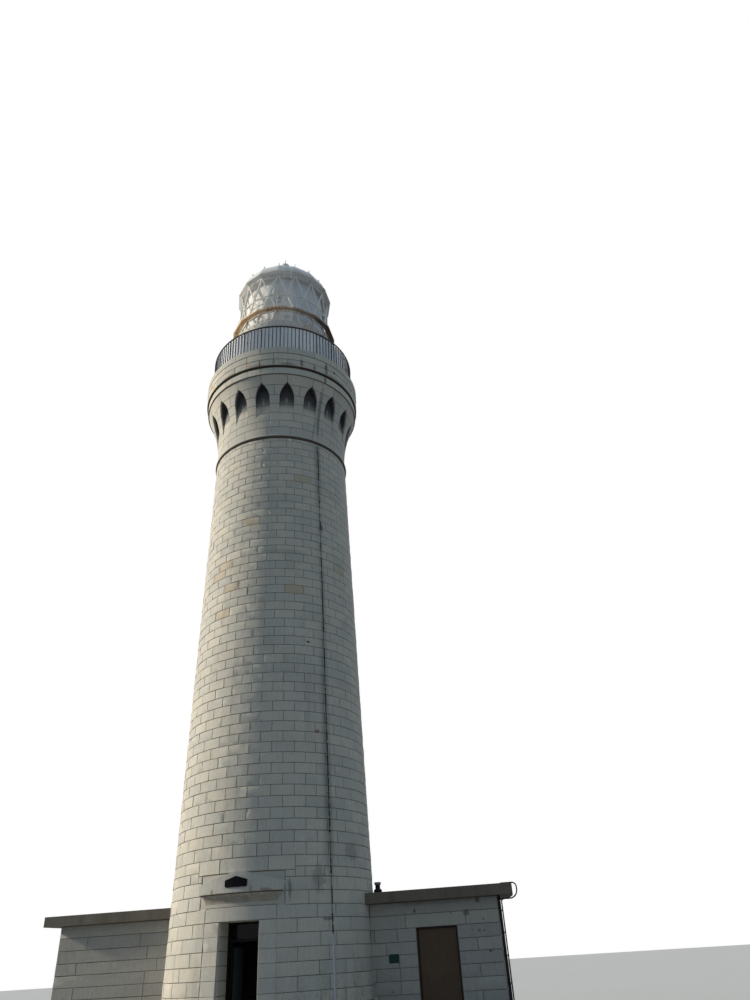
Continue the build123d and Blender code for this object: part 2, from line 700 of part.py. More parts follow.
def lantern_glass():
    # A faceted sheet of three-cornered panes right behind the bars.
    faces = []
    rims = []
    for radius in (LATTICE_RADIUS - GLASS_INSET, LATTICE_RADIUS - GLASS_INSET - GLASS_THICKNESS):
        levels = [lattice_nodes(level, radius) for level in range(len(LATTICE_LEVELS))]
        rims.append((levels[0], levels[-1]))
        for level in range(len(LATTICE_LEVELS) - 1):
            lower = levels[level]
            upper = levels[level + 1]
            for k in range(LANTERN_SIDES):
                n = (k + 1) % LANTERN_SIDES
                if level % 2 == 0:
                    faces.append((lower[k], lower[n], upper[k]))
                    faces.append((upper[k], lower[n], upper[n]))
                else:
                    faces.append((lower[k], lower[n], upper[n]))
                    faces.append((upper[k], lower[k], upper[n]))
    for outer, inner in zip(*rims):
        for k in range(LANTERN_SIDES):
            n = (k + 1) % LANTERN_SIDES
            faces.append((outer[k], outer[n], inner[n], inner[k]))
    built = [Face(Wire.make_polygon(list(corners), close=True)) for corners in faces]
    return Solid(Shell(built)).fix()


def lantern_curtain():
    inner = CURTAIN_RADIUS - CURTAIN_THICKNESS
    return ring(band(inner, CURTAIN_RADIUS, SILL_TOP + CURTAIN_BOTTOM_GAP, EAVE_BOTTOM - FIT_GAP))


# Catwalk
def lantern_catwalk():
    bottom = CATWALK_TOP - CATWALK_RIM
    body = sided_prism(CATWALK_RADIUS, bottom, CATWALK_TOP)
    hollow = sided_prism(CATWALK_RADIUS - CATWALK_RIM_THICKNESS, bottom - CUT_MARGIN, CATWALK_TOP - CATWALK_PLATE)
    inside = sided_prism(LATTICE_RADIUS + BAR_DEPTH, bottom - CUT_MARGIN, CATWALK_TOP + CUT_MARGIN)
    return body - hollow - inside


def catwalk_stays(lattice, catwalk):
    rods = []
    for k in range(LANTERN_SIDES):
        azimuth = corner_azimuth(k)
        top = polar(LATTICE_RADIUS * FLAT_SHARE + BAR_DEPTH / 2, azimuth, LATTICE_LEVELS[2])
        foot = polar(CATWALK_RADIUS - STAY_INSET, azimuth, CATWALK_TOP)
        rods.append(largest(rod_between(foot, top, STAY_RADIUS) - catwalk - lattice))
    return several(rods)


# Lantern roof
def lantern_eave():
    foot = Pos(0, 0, EAVE_BOTTOM) * sided_plan(LATTICE_RADIUS + EAVE_FOOT_REACH)
    edge = Pos(0, 0, EAVE_EDGE) * sided_plan(EAVE_RADIUS)
    block = loft([foot, edge], ruled=True) + sided_prism(EAVE_RADIUS, EAVE_EDGE, EAVE_SHOULDER)
    block = block + sided_prism(EAVE_RADIUS - EAVE_UPPER_STEP, EAVE_SHOULDER, EAVE_TOP)
    return block - drum(LATTICE_RADIUS - EAVE_SEAT, EAVE_BOTTOM - CUT_MARGIN, EAVE_TOP + CUT_MARGIN)


def dome_outline(radius, rise, inner=0):
    # The half section of a dome on the -Y side, without what lies nearer than inner.
    quarter = Pos(-(radius + inner) / 2, rise / 2) * Rectangle(radius - inner, rise)
    return Pos(0, 0, EAVE_TOP) * (Plane.YZ * (Ellipse(radius, rise) & quarter))


def lantern_roof():
    # Each side of the dome is a panel that curves upwards only, and the panels meet in ribs.
    inside = dome_outline(DOME_RADIUS - DOME_THICKNESS, DOME_RISE - DOME_THICKNESS)
    section = dome_outline(DOME_RADIUS, DOME_RISE, DOME_OPENING) - inside
    reach = DOME_RADIUS + CUT_MARGIN
    bar = extrude(section, reach * math.tan(math.radians(SIDE_ANGLE / 2)), both=True)
    corners = [(0, 0, 0), polar(reach / FLAT_SHARE, -SIDE_ANGLE / 2, 0), polar(reach / FLAT_SHARE, SIDE_ANGLE / 2, 0)]
    wedge = Pos(0, 0, EAVE_TOP - CUT_MARGIN) * extrude(make_face(Polyline(*corners, close=True)), DOME_RISE + 2 * CUT_MARGIN)
    panel = bar & wedge
    panels = [turned(panel, SIDE_ANGLE * k + LANTERN_TURN) for k in range(LANTERN_SIDES)]
    return panels[0].fuse(*panels[1:])


def rib_outline():
    # The round form that the ribs lie on, for what is seated on them.
    return dome_outline(DOME_RADIUS / FLAT_SHARE, DOME_RISE)


def dome_level(radius):
    return EAVE_TOP + DOME_RISE * math.sqrt(1 - (radius * FLAT_SHARE / DOME_RADIUS) ** 2)


def roof_lugs():
    seat = dome_level(LUG_RING_RADIUS)
    body = Pos(0, -LUG_RING_RADIUS, seat) * Box(LUG_THICKNESS, LUG_WIDTH, 2 * LUG_HEIGHT)
    eye = Pos(0, -LUG_RING_RADIUS, seat + LUG_HEIGHT - LUG_WIDTH / 2) * Rot(0, 90, 0) * Cylinder(LUG_EYE_RADIUS, LUG_WIDTH)
    lug = body - eye - ring(rib_outline()) - drum(DOME_RADIUS, 0, EAVE_TOP)
    return several([turned(lug, corner_azimuth(k)) for k in range(LANTERN_SIDES)])


def vent_ball_level():
    return dome_level(VENT_BASE_RADIUS) + VENT_BASE_HEIGHT + VENT_SHOULDER + VENT_NECK_HEIGHT + VENT_BALL_RADIUS


def roof_ventilator():
    seat = dome_level(VENT_BASE_RADIUS)
    shoulder = seat + VENT_BASE_HEIGHT
    neck = shoulder + VENT_SHOULDER
    stack = outline(
        (0, seat - CUT_MARGIN),
        (VENT_BASE_RADIUS, seat - CUT_MARGIN),
        (VENT_BASE_RADIUS, shoulder),
        (VENT_NECK_RADIUS, neck),
        (VENT_NECK_RADIUS, vent_ball_level()),
        (0, vent_ball_level()),
    )
    ball = Pos(0, 0, vent_ball_level()) * Sphere(VENT_BALL_RADIUS)
    return ring(stack - rib_outline()) + ball


def lightning_rod(ventilator):
    middle = vent_ball_level() + VENT_BALL_RADIUS
    rod = drum(ROD_RADIUS, middle - ROD_RADIUS, middle + ROD_LENGTH)
    return rod - ventilator


# Lantern ladder
def lantern_ladder(eave):
    top = (EAVE_EDGE + EAVE_SHOULDER) / 2
    height = EAVE_SHOULDER - SILL_TOP
    seat = EAVE_RADIUS * FLAT_SHARE
    parts = []
    for side in (-1, 1):
        x = side * LADDER_WIDTH / 2
        stile = Box(LADDER_STILE_THICKNESS, LADDER_STILE, height)
        parts.append(Pos(x, -LADDER_RADIUS, SILL_TOP + height / 2) * stile)
        bracket = Box(LADDER_STILE_THICKNESS, LADDER_RADIUS - seat, LADDER_BRACKET)
        parts.append(Pos(x, -(LADDER_RADIUS + seat) / 2, top) * bracket)
    for k in range(int((height - RUNG_START) // RUNG_PITCH) + 1):
        z = SILL_TOP + RUNG_START + RUNG_PITCH * k
        parts.append(Pos(0, -LADDER_RADIUS, z) * Rot(0, 90, 0) * Cylinder(RUNG_RADIUS, LADDER_WIDTH))
    return turned(parts[0].fuse(*parts[1:]), LADDER_AZIMUTH) - eave


# Lightning conductor
def shaft_solid():
    return ring(outline((0, 0), (shaft_radius(0), 0), (shaft_radius(SHAFT_HEIGHT), SHAFT_HEIGHT), (0, SHAFT_HEIGHT)))


def conductor():
    top = SHAFT_HEIGHT - CONDUCTOR_TOP_GAP
    low = polar(shaft_radius(GUARD_HEIGHT), 0, GUARD_HEIGHT)
    high = polar(shaft_radius(top), 0, top)
    strip = bar_between(low, high, CONDUCTOR_WIDTH, CONDUCTOR_THICKNESS * 2)
    return turned(strip - shaft_solid(), CONDUCTOR_AZIMUTH)


def conductor_guard():
    bedding = GUARD_RADIUS - GUARD_BEDDING
    low = polar(shaft_radius(0) + bedding, 0, 0)
    high = polar(shaft_radius(GUARD_HEIGHT) + bedding, 0, GUARD_HEIGHT)
    tube = rod_between(low, high, GUARD_RADIUS) & drum(SHAFT_BASE_RADIUS * 2, 0, GUARD_HEIGHT)
    return turned(tube - shaft_solid(), CONDUCTOR_AZIMUTH)


# Annex walls, roof and floor
def annex_plan(radius, front_y):
    # A half disc whose straight side is parallel to X.
    keep = Pos(0, radius - front_y) * Rectangle(4 * radius, 2 * radius)
    return Pos(0, -ANNEX_FRONT_Y) * Circle(radius) & keep


def tower_core(height):
    # The tower's outer surface with a fit all round, which the annex is cut to.
    low = shaft_radius(-CUT_MARGIN) + FIT_GAP
    high = shaft_radius(height + CUT_MARGIN) + FIT_GAP
    return ring(outline((0, -CUT_MARGIN), (low, -CUT_MARGIN), (high, height + CUT_MARGIN), (0, height + CUT_MARGIN)))


def annex_front_walls():
    y0 = -ANNEX_FRONT_Y
    y1 = y0 + ANNEX_WALL
    core = tower_core(ANNEX_WALL_HEIGHT)
    curve = Pos(0, y0, 0) * drum(ANNEX_RADIUS, -CUT_MARGIN, ANNEX_WALL_HEIGHT + CUT_MARGIN)
    pieces = []
    for x0, x1 in ((-ANNEX_RADIUS, 0), (0, BROWN_DOOR_LEFT), (BROWN_DOOR_RIGHT, ANNEX_RADIUS)):
        pieces.append((slab(x0, x1, y0, y1, 0, ANNEX_WALL_HEIGHT) - core) & curve)
    return several(pieces)


def annex_door_lintel():
    y0 = -ANNEX_FRONT_Y
    return slab(BROWN_DOOR_LEFT, BROWN_DOOR_RIGHT, y0, y0 + ANNEX_WALL, BROWN_DOOR_TOP, ANNEX_WALL_HEIGHT)


def annex_rear_segment(index):
    step = 180 / ANNEX_REAR_SEGMENTS
    start = 90 + step * index
    face = band(ANNEX_RADIUS - ANNEX_WALL, ANNEX_RADIUS, 0, ANNEX_WALL_HEIGHT)
    piece = Pos(0, -ANNEX_FRONT_Y, 0) * sector(face, start, start + step)
    front = -ANNEX_FRONT_Y + ANNEX_WALL
    keep = slab(-ANNEX_RADIUS, ANNEX_RADIUS, front, ANNEX_RADIUS, 0, ANNEX_WALL_HEIGHT)
    return piece & keep


def annex_roof():
    plan = annex_plan(ANNEX_RADIUS + ROOF_END_OVERHANG, ANNEX_FRONT_Y + ROOF_FRONT_OVERHANG)
    return Pos(0, 0, ANNEX_WALL_HEIGHT) * extrude(plan, ROOF_THICKNESS) - tower_core(ROOF_TOP)


def annex_floor():
    plate = extrude(annex_plan(ANNEX_RADIUS - ANNEX_WALL, ANNEX_FRONT_Y - ANNEX_WALL), FLOOR_THICKNESS)
    y0 = -ANNEX_FRONT_Y
    sill = slab(BROWN_DOOR_LEFT, BROWN_DOOR_RIGHT, y0, y0 + ANNEX_WALL, 0, FLOOR_THICKNESS)
    return (plate + sill) - tower_core(FLOOR_THICKNESS)


# Annex door
def annex_door_frame():
    y0 = BROWN_LEAF_Y
    y1 = y0 + BROWN_FRAME_DEPTH
    x0 = BROWN_DOOR_LEFT + BROWN_FRAME
    x1 = BROWN_DOOR_RIGHT - BROWN_FRAME
    outer = slab(BROWN_DOOR_LEFT, BROWN_DOOR_RIGHT, y0, y1, FLOOR_THICKNESS, BROWN_DOOR_TOP)
    inner = slab(x0, x1, y0 - CUT_MARGIN, y1 + CUT_MARGIN, 0, BROWN_DOOR_TOP - BROWN_FRAME)
    return (outer - inner).fuse(*annex_hinge(-1))


def annex_door_leaf():
    edge = BROWN_FRAME + LEAF_CLEARANCE
    x1 = BROWN_DOOR_RIGHT - edge
    y0 = BROWN_LEAF_Y
    y1 = y0 + BROWN_LEAF_THICKNESS
    leaf = slab(BROWN_DOOR_LEFT + edge, x1, y0, y1, FLOOR_THICKNESS + LEAF_CLEARANCE, BROWN_DOOR_TOP - edge)
    place = Pos(x1 - KNOB_INSET, y0, FLOOR_THICKNESS + KNOB_HEIGHT) * Rot(90, 0, 0)
    stem = place * Pos(0, 0, KNOB_STEM_LENGTH / 2) * Cylinder(KNOB_STEM_RADIUS, KNOB_STEM_LENGTH)
    knob = place * Pos(0, 0, KNOB_STEM_LENGTH + KNOB_LENGTH / 2) * Cylinder(KNOB_RADIUS, KNOB_LENGTH)
    return leaf.fuse(stem, knob, *annex_hinge(1))


# Pipes at the annex's right corner
def annex_downpipe():
    pipe = Pos(PIPE_X, PIPE_Y, 0) * drum(PIPE_RADIUS, 0, ANNEX_WALL_HEIGHT)
    reach = CONDUIT_X - CONDUIT_RADIUS - FIT_GAP
    half = PIPE_RADIUS + PIPE_CLIP_EDGE
    for z in PIPE_CLIPS:
        z0 = z - PIPE_CLIP_HEIGHT / 2
        pipe = pipe + slab(ANNEX_RADIUS, reach, PIPE_Y - half, PIPE_Y + half, z0, z0 + PIPE_CLIP_HEIGHT)
    return pipe


def annex_conduit():
    loop_x = ANNEX_RADIUS + ROOF_END_OVERHANG + CONDUIT_REACH
    roof_x = ANNEX_RADIUS + ROOF_END_OVERHANG - CONDUIT_ROOF_RUN
    roof_z = ROOF_TOP + CONDUIT_RADIUS + FIT_GAP
    low_z = ANNEX_WALL_HEIGHT - CONDUIT_DROP
    path = FilletPolyline(
        (roof_x, PIPE_Y, roof_z),
        (loop_x, PIPE_Y, roof_z),
        (loop_x, PIPE_Y, low_z),
        (CONDUIT_X, PIPE_Y, low_z),
        (CONDUIT_X, PIPE_Y, 0),
        radius=[CONDUIT_UPPER_BEND, CONDUIT_LOWER_BEND, CONDUIT_WALL_BEND],
    )
    section = Plane(origin=path @ 0, z_dir=path % 0) * Circle(CONDUIT_RADIUS)
    return sweep(section, path=path)


def roof_vent():
    shoulder = ROOF_TOP + ROOF_VENT_FOOT_HEIGHT
    neck = shoulder + ROOF_VENT_CONE_HEIGHT
    cap = neck + ROOF_VENT_NECK_HEIGHT
    top = cap + ROOF_VENT_CAP_HEIGHT
    profile = outline(
        (0, ROOF_TOP),
        (ROOF_VENT_FOOT_RADIUS, ROOF_TOP),
        (ROOF_VENT_FOOT_RADIUS, shoulder),
        (ROOF_VENT_NECK_RADIUS, neck),
        (ROOF_VENT_NECK_RADIUS, cap),
        (ROOF_VENT_CAP_RADIUS, cap),
        (ROOF_VENT_CAP_RADIUS, top),
        (0, top),
    )
    distance = shaft_radius(ROOF_TOP) + ROOF_VENT_GAP + ROOF_VENT_FOOT_RADIUS
    return Pos(polar(distance, ROOF_VENT_AZIMUTH, 0)) * ring(profile)


def main():
    os.makedirs("parts", exist_ok=True)
    save("tower_floor", drum(TOWER_HOLLOW_RADIUS, 0, FLOOR_THICKNESS))
    segments = [shaft_segment(k) for k in range(SHAFT_SEGMENTS)]
    save("shaft_wall_odd", several(segments[0::2]))
    save("shaft_wall_even", several(segments[1::2]))
    hood_block = hood()
    save("shaft_wall_front", shaft_front(hood_block))
    save("entrance_jambs", entrance_jambs())
    save("entrance_lintel", entrance_lintel())
    save("entrance_sill", entrance_sill())
    save("entrance_hood", hood_block)
    save("entrance_frame", entrance_frame())
    save("entrance_transom_glass", transom_glass())
    save("entrance_door", entrance_leaf())
    save("entrance_door_glass", entrance_leaf_glass())
    bells = [bell_segment(k) for k in range(BELL_SEGMENTS)]
    save("capital_odd", several(bells[0::2]))
    save("capital_even", several(bells[1::2]))
    save("gallery_cornice", gallery_cornice())
    save("gallery_deck", drum(DECK_RADIUS, DECK_BOTTOM, DECK_TOP))
    save("gallery_railing", gallery_railing())
    save("gallery_screen", railing_screen())
    save("service_room_wall", ring(band(DRUM_RADIUS - DRUM_WALL, DRUM_RADIUS, DECK_TOP, DRUM_TOP)))
    save("lantern_sill", sill_ring())
    lattice = lantern_lattice()
    save("lantern_lattice", lattice)
    save("lantern_glass", lantern_glass())
    save("lantern_curtain", lantern_curtain())
    catwalk = lantern_catwalk()
    save("lantern_catwalk", catwalk)
    save("catwalk_stays", catwalk_stays(lattice, catwalk))
    eave = lantern_eave()
    save("lantern_ladder", lantern_ladder(eave))
    save("lantern_eave", eave)
    save("lantern_roof", lantern_roof())
    save("roof_lugs", roof_lugs())
    ventilator = roof_ventilator()
    save("roof_ventilator", ventilator)
    save("lightning_rod", lightning_rod(ventilator))
    save("lightning_conductor", conductor())
    save("conductor_guard", conductor_guard())
    save("annex_front_walls", annex_front_walls())
    save("annex_door_lintel", annex_door_lintel())
    rear = [annex_rear_segment(k) for k in range(ANNEX_REAR_SEGMENTS)]
    save("annex_rear_wall_odd", several(rear[0::2]))
    save("annex_rear_wall_even", several(rear[1::2]))
    save("annex_roof_slab", annex_roof())
    save("annex_floor", annex_floor())
    save("annex_door_frame", annex_door_frame())
    save("annex_door", annex_door_leaf())
    save("annex_downpipe", annex_downpipe())
    save("annex_conduit", annex_conduit())
    save("annex_roof_vent", roof_vent())


if __name__ == "__main__":
    main()
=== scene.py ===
"""Dresses the granite lighthouse: stonework, lantern, gallery, entrance and annex."""

import logging
import math
from dataclasses import dataclass, field
from enum import Enum
from typing import Callable, Iterable, Sequence

import bmesh
import bpy
import numpy as np
from mathutils import Matrix, Vector


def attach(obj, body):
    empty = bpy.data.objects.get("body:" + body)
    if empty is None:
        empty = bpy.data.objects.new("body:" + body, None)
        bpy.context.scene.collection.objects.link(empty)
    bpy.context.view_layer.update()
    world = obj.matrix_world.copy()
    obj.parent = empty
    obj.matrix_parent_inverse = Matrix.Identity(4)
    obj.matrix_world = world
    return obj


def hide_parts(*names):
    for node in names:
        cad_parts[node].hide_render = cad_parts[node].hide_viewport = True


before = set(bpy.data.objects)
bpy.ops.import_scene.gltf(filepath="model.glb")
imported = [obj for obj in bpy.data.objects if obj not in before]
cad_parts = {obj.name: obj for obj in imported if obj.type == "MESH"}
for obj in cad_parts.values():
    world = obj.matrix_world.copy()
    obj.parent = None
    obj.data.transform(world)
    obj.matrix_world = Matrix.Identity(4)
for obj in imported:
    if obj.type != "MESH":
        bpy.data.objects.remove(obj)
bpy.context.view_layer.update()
LOG = logging.getLogger("lighthouse")

Colour = tuple[float, float, float]
BUILDING = "building"
SHAFT_RADIUS = 2.853
SHAFT_TAPER = 0.02445
PLAIN_TONE = 0.92


# Shader writing


class Signal:
    """A shader value on which sums can be written."""

    def __init__(self, graph: "Graph", socket: bpy.types.NodeSocket) -> None:
        """Keeps the graph and the output socket."""
        self.graph = graph
        self.socket = socket

    def __add__(self, other: "Signal | float") -> "Signal":
        """Returns self + other."""
        return self.graph.math("ADD", self, other)

    def __radd__(self, other: float) -> "Signal":
        """Returns other + self."""
        return self.graph.math("ADD", other, self)

    def __sub__(self, other: "Signal | float") -> "Signal":
        """Returns self - other."""
        return self.graph.math("SUBTRACT", self, other)

    def __rsub__(self, other: float) -> "Signal":
        """Returns other - self."""
        return self.graph.math("SUBTRACT", other, self)

    def __mul__(self, other: "Signal | float") -> "Signal":
        """Returns self * other."""
        return self.graph.math("MULTIPLY", self, other)

    def __rmul__(self, other: float) -> "Signal":
        """Returns other * self."""
        return self.graph.math("MULTIPLY", other, self)

    def __truediv__(self, other: "Signal | float") -> "Signal":
        """Returns self / other."""
        return self.graph.math("DIVIDE", self, other)

    def __rtruediv__(self, other: float) -> "Signal":
        """Returns other / self."""
        return self.graph.math("DIVIDE", other, self)

    def __abs__(self) -> "Signal":
        """Returns self without its sign."""
        return self.graph.math("ABSOLUTE", self)


Value = Signal | float


class Graph:
    """Builds one material or one world from nodes."""

    def __init__(self, name: str, world: bool = False) -> None:
        """Starts without nodes.

        Args:
            name: The name of the material or world.
            world: Whether it is a world.
        """
        self.owner = (bpy.data.worlds if world else bpy.data.materials).new(name)
        self.owner.use_nodes = True
        self.tree = self.owner.node_tree
        self.tree.nodes.clear()

    def feed(self, socket: bpy.types.NodeSocket, value: object) -> None:
        """Links or sets one input socket.

        Args:
            socket: The input.
            value: A Signal to link, or a number, colour or vector to set.
        """
        if isinstance(value, Signal):
            self.tree.links.new(value.socket, socket)
        elif socket.type == "RGBA":
            socket.default_value = (*value[:3], 1.0)
        else:
            socket.default_value = value

    def node(self, kind: str, settings: dict | None = None, inputs: dict | None = None) -> bpy.types.Node:
        """Adds a node.

        Args:
            kind: The node's type without its ShaderNode prefix.
            settings: Properties to set first.
            inputs: Values or links, by the input's name or index.

        Returns:
            The new node.
        """
        made = self.tree.nodes.new("ShaderNode" + kind)
        for key, value in (settings or {}).items():
            setattr(made, key, value)
        for key, value in (inputs or {}).items():
            self.feed(made.inputs[key], value)
        return made

    def out(self, node: bpy.types.Node, key: int | str = 0) -> Signal:
        """Returns one of a node's outputs as a Signal."""
        return Signal(self, node.outputs[key])

    def math(self, operation: str, a: Value, b: Value = 0.0, clamp: bool = False) -> Signal:
        """Adds a Math node.

        Args:
            operation: Its operation.
            a: First value.
            b: Second value.
            clamp: Whether the result is kept between 0 and 1.

        Returns:
            The result.
        """
        return self.out(self.node("Math", {"operation": operation, "use_clamp": clamp}, {0: a, 1: b}))

    def place(self) -> Signal:
        """Returns the point in the object's own coordinates."""
        return self.out(self.node("TexCoord"), "Object")

    def split(self, vector: Signal) -> tuple[Signal, Signal, Signal]:
        """Returns a vector's three parts."""
        parts = self.node("SeparateXYZ", None, {0: vector})
        return self.out(parts, 0), self.out(parts, 1), self.out(parts, 2)

    def join(self, x: Value, y: Value, z: Value) -> Signal:
        """Returns a vector made of three parts."""
        return self.out(self.node("CombineXYZ", None, {0: x, 1: y, 2: z}))

    def reach(self, x: Signal, y: Signal) -> Signal:
        """Returns the distance from the tower's axis."""
        return self.math("SQRT", x * x + y * y)

    def stretched(self, vector: Signal, factors: tuple[float, float, float]) -> Signal:
        """Returns a vector multiplied part by part."""
        return self.out(self.node("VectorMath", {"operation": "MULTIPLY"}, {0: vector, 1: factors}))

    def noise(self, vector: Signal, scale: float, detail: float = 4.0, rough: float = 0.55) -> Signal:
        """Returns soft noise about 0.5.

        Args:
            vector: Where it is read.
            scale: Cells per metre.
            detail: Octaves.
            rough: Weight of the fine octaves.

        Returns:
            The noise value.
        """
        inputs = {"Vector": vector, "Scale": scale, "Detail": detail, "Roughness": rough}
        return self.out(self.node("TexNoise", None, inputs))

    def streaks(self, vector: Signal, across: float, up: float, detail: float, rough: float = 0.55) -> Signal:
        """Returns soft noise with one scale across and another one up."""
        return self.noise(self.stretched(vector, (across, across, up)), 1.0, detail, rough)

    def cells(self, vector: Signal, scale: float) -> Signal:
        """Returns the distance to the nearest of scattered points."""
        made = self.node("TexVoronoi", {"feature": "F1"}, {"Vector": vector, "Scale": scale})
        return self.out(made, "Distance")

    def step(self, value: Signal, low: float, high: float, start: float = 0.0, end: float = 1.0) -> Signal:
        """Returns a smooth step.

        Args:
            value: The value that is looked at.
            low: Where the step begins.
            high: Where it ends.
            start: The result below the step.
            end: The result above it.

        Returns:
            The stepped value.
        """
        inputs = {0: value, 1: low, 2: high, 3: start, 4: end}
        return self.out(self.node("MapRange", {"interpolation_type": "SMOOTHSTEP"}, inputs))

    def fall(self, value: Signal, low: float, high: float) -> Signal:
        """Returns a smooth step from 1 down to 0."""
        return self.step(value, low, high, 1.0, 0.0)

    def band(self, value: Signal, rise: tuple[float, float], fall: tuple[float, float]) -> Signal:
        """Returns 1 between a step up and a step down, and 0 outside them."""
        return self.step(value, *rise) * self.fall(value, *fall)

    def mix(self, a: Signal | Colour, b: Signal | Colour, factor: Value, blend: str = "MIX") -> Signal:
        """Returns a colour made from two colours."""
        made = self.node("Mix", {"data_type": "RGBA", "blend_type": blend}, {0: factor, 6: a, 7: b})
        return self.out(made, 2)

    def bump(self, height: Signal, distance: float, strength: float = 1.0) -> Signal:
        """Returns a normal raised by a height in units of distance metres."""
        made = self.node("Bump", None, {"Strength": strength, "Distance": distance, "Height": height})
        return self.out(made)

    def azimuth(self, x: Signal, y: Signal) -> Signal:
        """Returns degrees round the tower, 0 at the entrance and growing to +X."""
        return self.math("ARCTAN2", x, y * -1.0) * (180.0 / math.pi)

    def close(
        self, colour: Signal | Colour, rough: Value, normal: Signal | None = None, **constants: Value
    ) -> bpy.types.Material:
        """Ends the material with a surface.

        Args:
            colour: The base colour.
            rough: The roughness.
            normal: The raised normal, if any.
            constants: Other sockets by name, with spaces as underscores.

        Returns:
            The material.
        """
        inputs = {"Base Color": colour, "Roughness": rough}
        if normal is not None:
            inputs["Normal"] = normal
        for key, value in constants.items():
            inputs[key.replace("_", " ")] = value
        surface = self.node("BsdfPrincipled", None, inputs)
        self.node("OutputMaterial", None, {0: self.out(surface)})
        return self.owner


# Finishes


Lines = tuple[Signal, Signal]


def scaled(colour: Colour, factor: float, lift: float = 0.0) -> Colour:
    """Returns a colour multiplied by a factor and then raised."""
    return tuple(c * factor + lift for c in colour)


def stone_lines(g: Graph, near: Signal, half: float, row: Signal, column: Value) -> Lines:
    """Draws joints and tells the stones between them apart.

    Args:
        g: The material.
        near: The distance to the nearest joint.
        half: Half the width of a joint.
        row: A number for the course.
        column: A number for the stone in it.

    Returns:
        A mask that is 0 in a joint, and a value that differs from stone to stone.
    """
    number = g.join(row, column, 3.7)
    tone = g.out(g.node("TexWhiteNoise", {"noise_dimensions": "3D"}, {"Vector": number}))
    return g.step(near, half * 0.4, half * 1.3), tone * PLAIN_TONE


def even_distance(g: Graph, value: Signal, first: float, pitch: float) -> tuple[Signal, Signal]:
    """Measures how far a value is from the nearest of even divisions.

    Args:
        g: The material.
        value: The value.
        first: One of the divisions.
        pitch: The distance from one to the next.

    Returns:
        The distance, and the number of the space that the value is in.
    """
    turns = (value - first) / pitch
    number = g.math("FLOOR", turns)
    part = turns - number
    return g.math("MINIMUM", part, 1.0 - part) * pitch, number


@dataclass(frozen=True)
class EvenJoints:
    """Lines between stones in even courses, drawn round the tower axis."""

    base: float
    course: float
    column: float
    offset: float
    radius: float
    half: float = 0.008

    def draw(self, g: Graph, azimuth: Signal, z: Signal) -> Lines:
        """Draws the joints.

        Args:
            g: The material.
            azimuth: Degrees round the tower.
            z: Height.

        Returns:
            A mask that is 0 in a joint, and a value that differs from stone to stone.
        """
        flat, row = even_distance(g, z, self.base, self.course)
        shift = g.math("FLOORED_MODULO", row, 2.0) * (self.column / 2)
        upright, column = even_distance(g, azimuth + shift, self.offset, self.column)
        near = g.math("MINIMUM", flat, upright * math.radians(self.radius))
        return stone_lines(g, near, self.half, row, column)


@dataclass(frozen=True)
class RowJoints:
    """Lines between stones in uneven courses: bottom, top, first joint and degrees between joints."""

    rows: tuple[tuple[float, float, float, float], ...]
    radius: float
    half: float = 0.008

    def draw(self, g: Graph, azimuth: Signal, z: Signal) -> Lines:
        """Draws the joints.

        Args:
            g: The material.
            azimuth: Degrees round the tower.
            z: Height.

        Returns:
            A mask that is 0 in a joint, and a value that differs from stone to stone.
        """
        near = abs(z - self.rows[0][0])
        seed: Value = 0.0
        for number, (bottom, top, first, pitch) in enumerate(self.rows):
            inside = g.math("GREATER_THAN", z, bottom) * g.math("LESS_THAN", z, top)
            upright, column = even_distance(g, azimuth, first, pitch)
            near = g.math("MINIMUM", near, upright * math.radians(self.radius) + (1.0 - inside) * 9.0)
            near = g.math("MINIMUM", near, abs(z - top))
            seed = seed + inside * (column + 31.0 * number)
        return stone_lines(g, near, self.half, seed, 1.3)


@dataclass(frozen=True)
class Mark:
    """An oval stain at a place along the wall and a height, with its half width and half height in metres."""

    along: float
    z: float
    wide: float
    tall: float
    colour: Colour
    strength: float = 0.8

    def lay(self, g: Graph, base: Signal, along: Signal, unit: float, z: Signal, ragged: Signal) -> Signal:
        """Lays the stain on a colour.

        Args:
            g: The material.
            base: The colour under it.
            along: Place along the wall, in degrees round the tower or in metres.
            unit: Metres in one of those.
            z: Height.
            ragged: Noise about 0.5 that tears its edge.

        Returns:
            The stained colour.
        """
        across = (along - self.along) * (unit / self.wide)
        up = (z - self.z) / self.tall
        far = g.math("SQRT", across * across + up * up) + (ragged - 0.5) * 1.2
        return g.mix(base, self.colour, g.step(far, 0.45, 1.15, self.strength, 0.0))


RUST = (0.20, 0.085, 0.030)
LICHEN = (0.62, 0.34, 0.10)
SOOT = (0.055, 0.050, 0.045)
MOSS = (0.050, 0.062, 0.048)
PALE_LIME = (0.86, 0.86, 0.84)
DAMP = (0.20, 0.19, 0.16)
BROWN_RUN = (0.10, 0.075, 0.05)
METRES_IN_DEGREE = math.radians(2.7)
BELL_MIDDLE = 18.955
BELL_HALF_HEIGHT = 1.209
BELL_CURVE = (2.528, 0.2296, 0.1436)


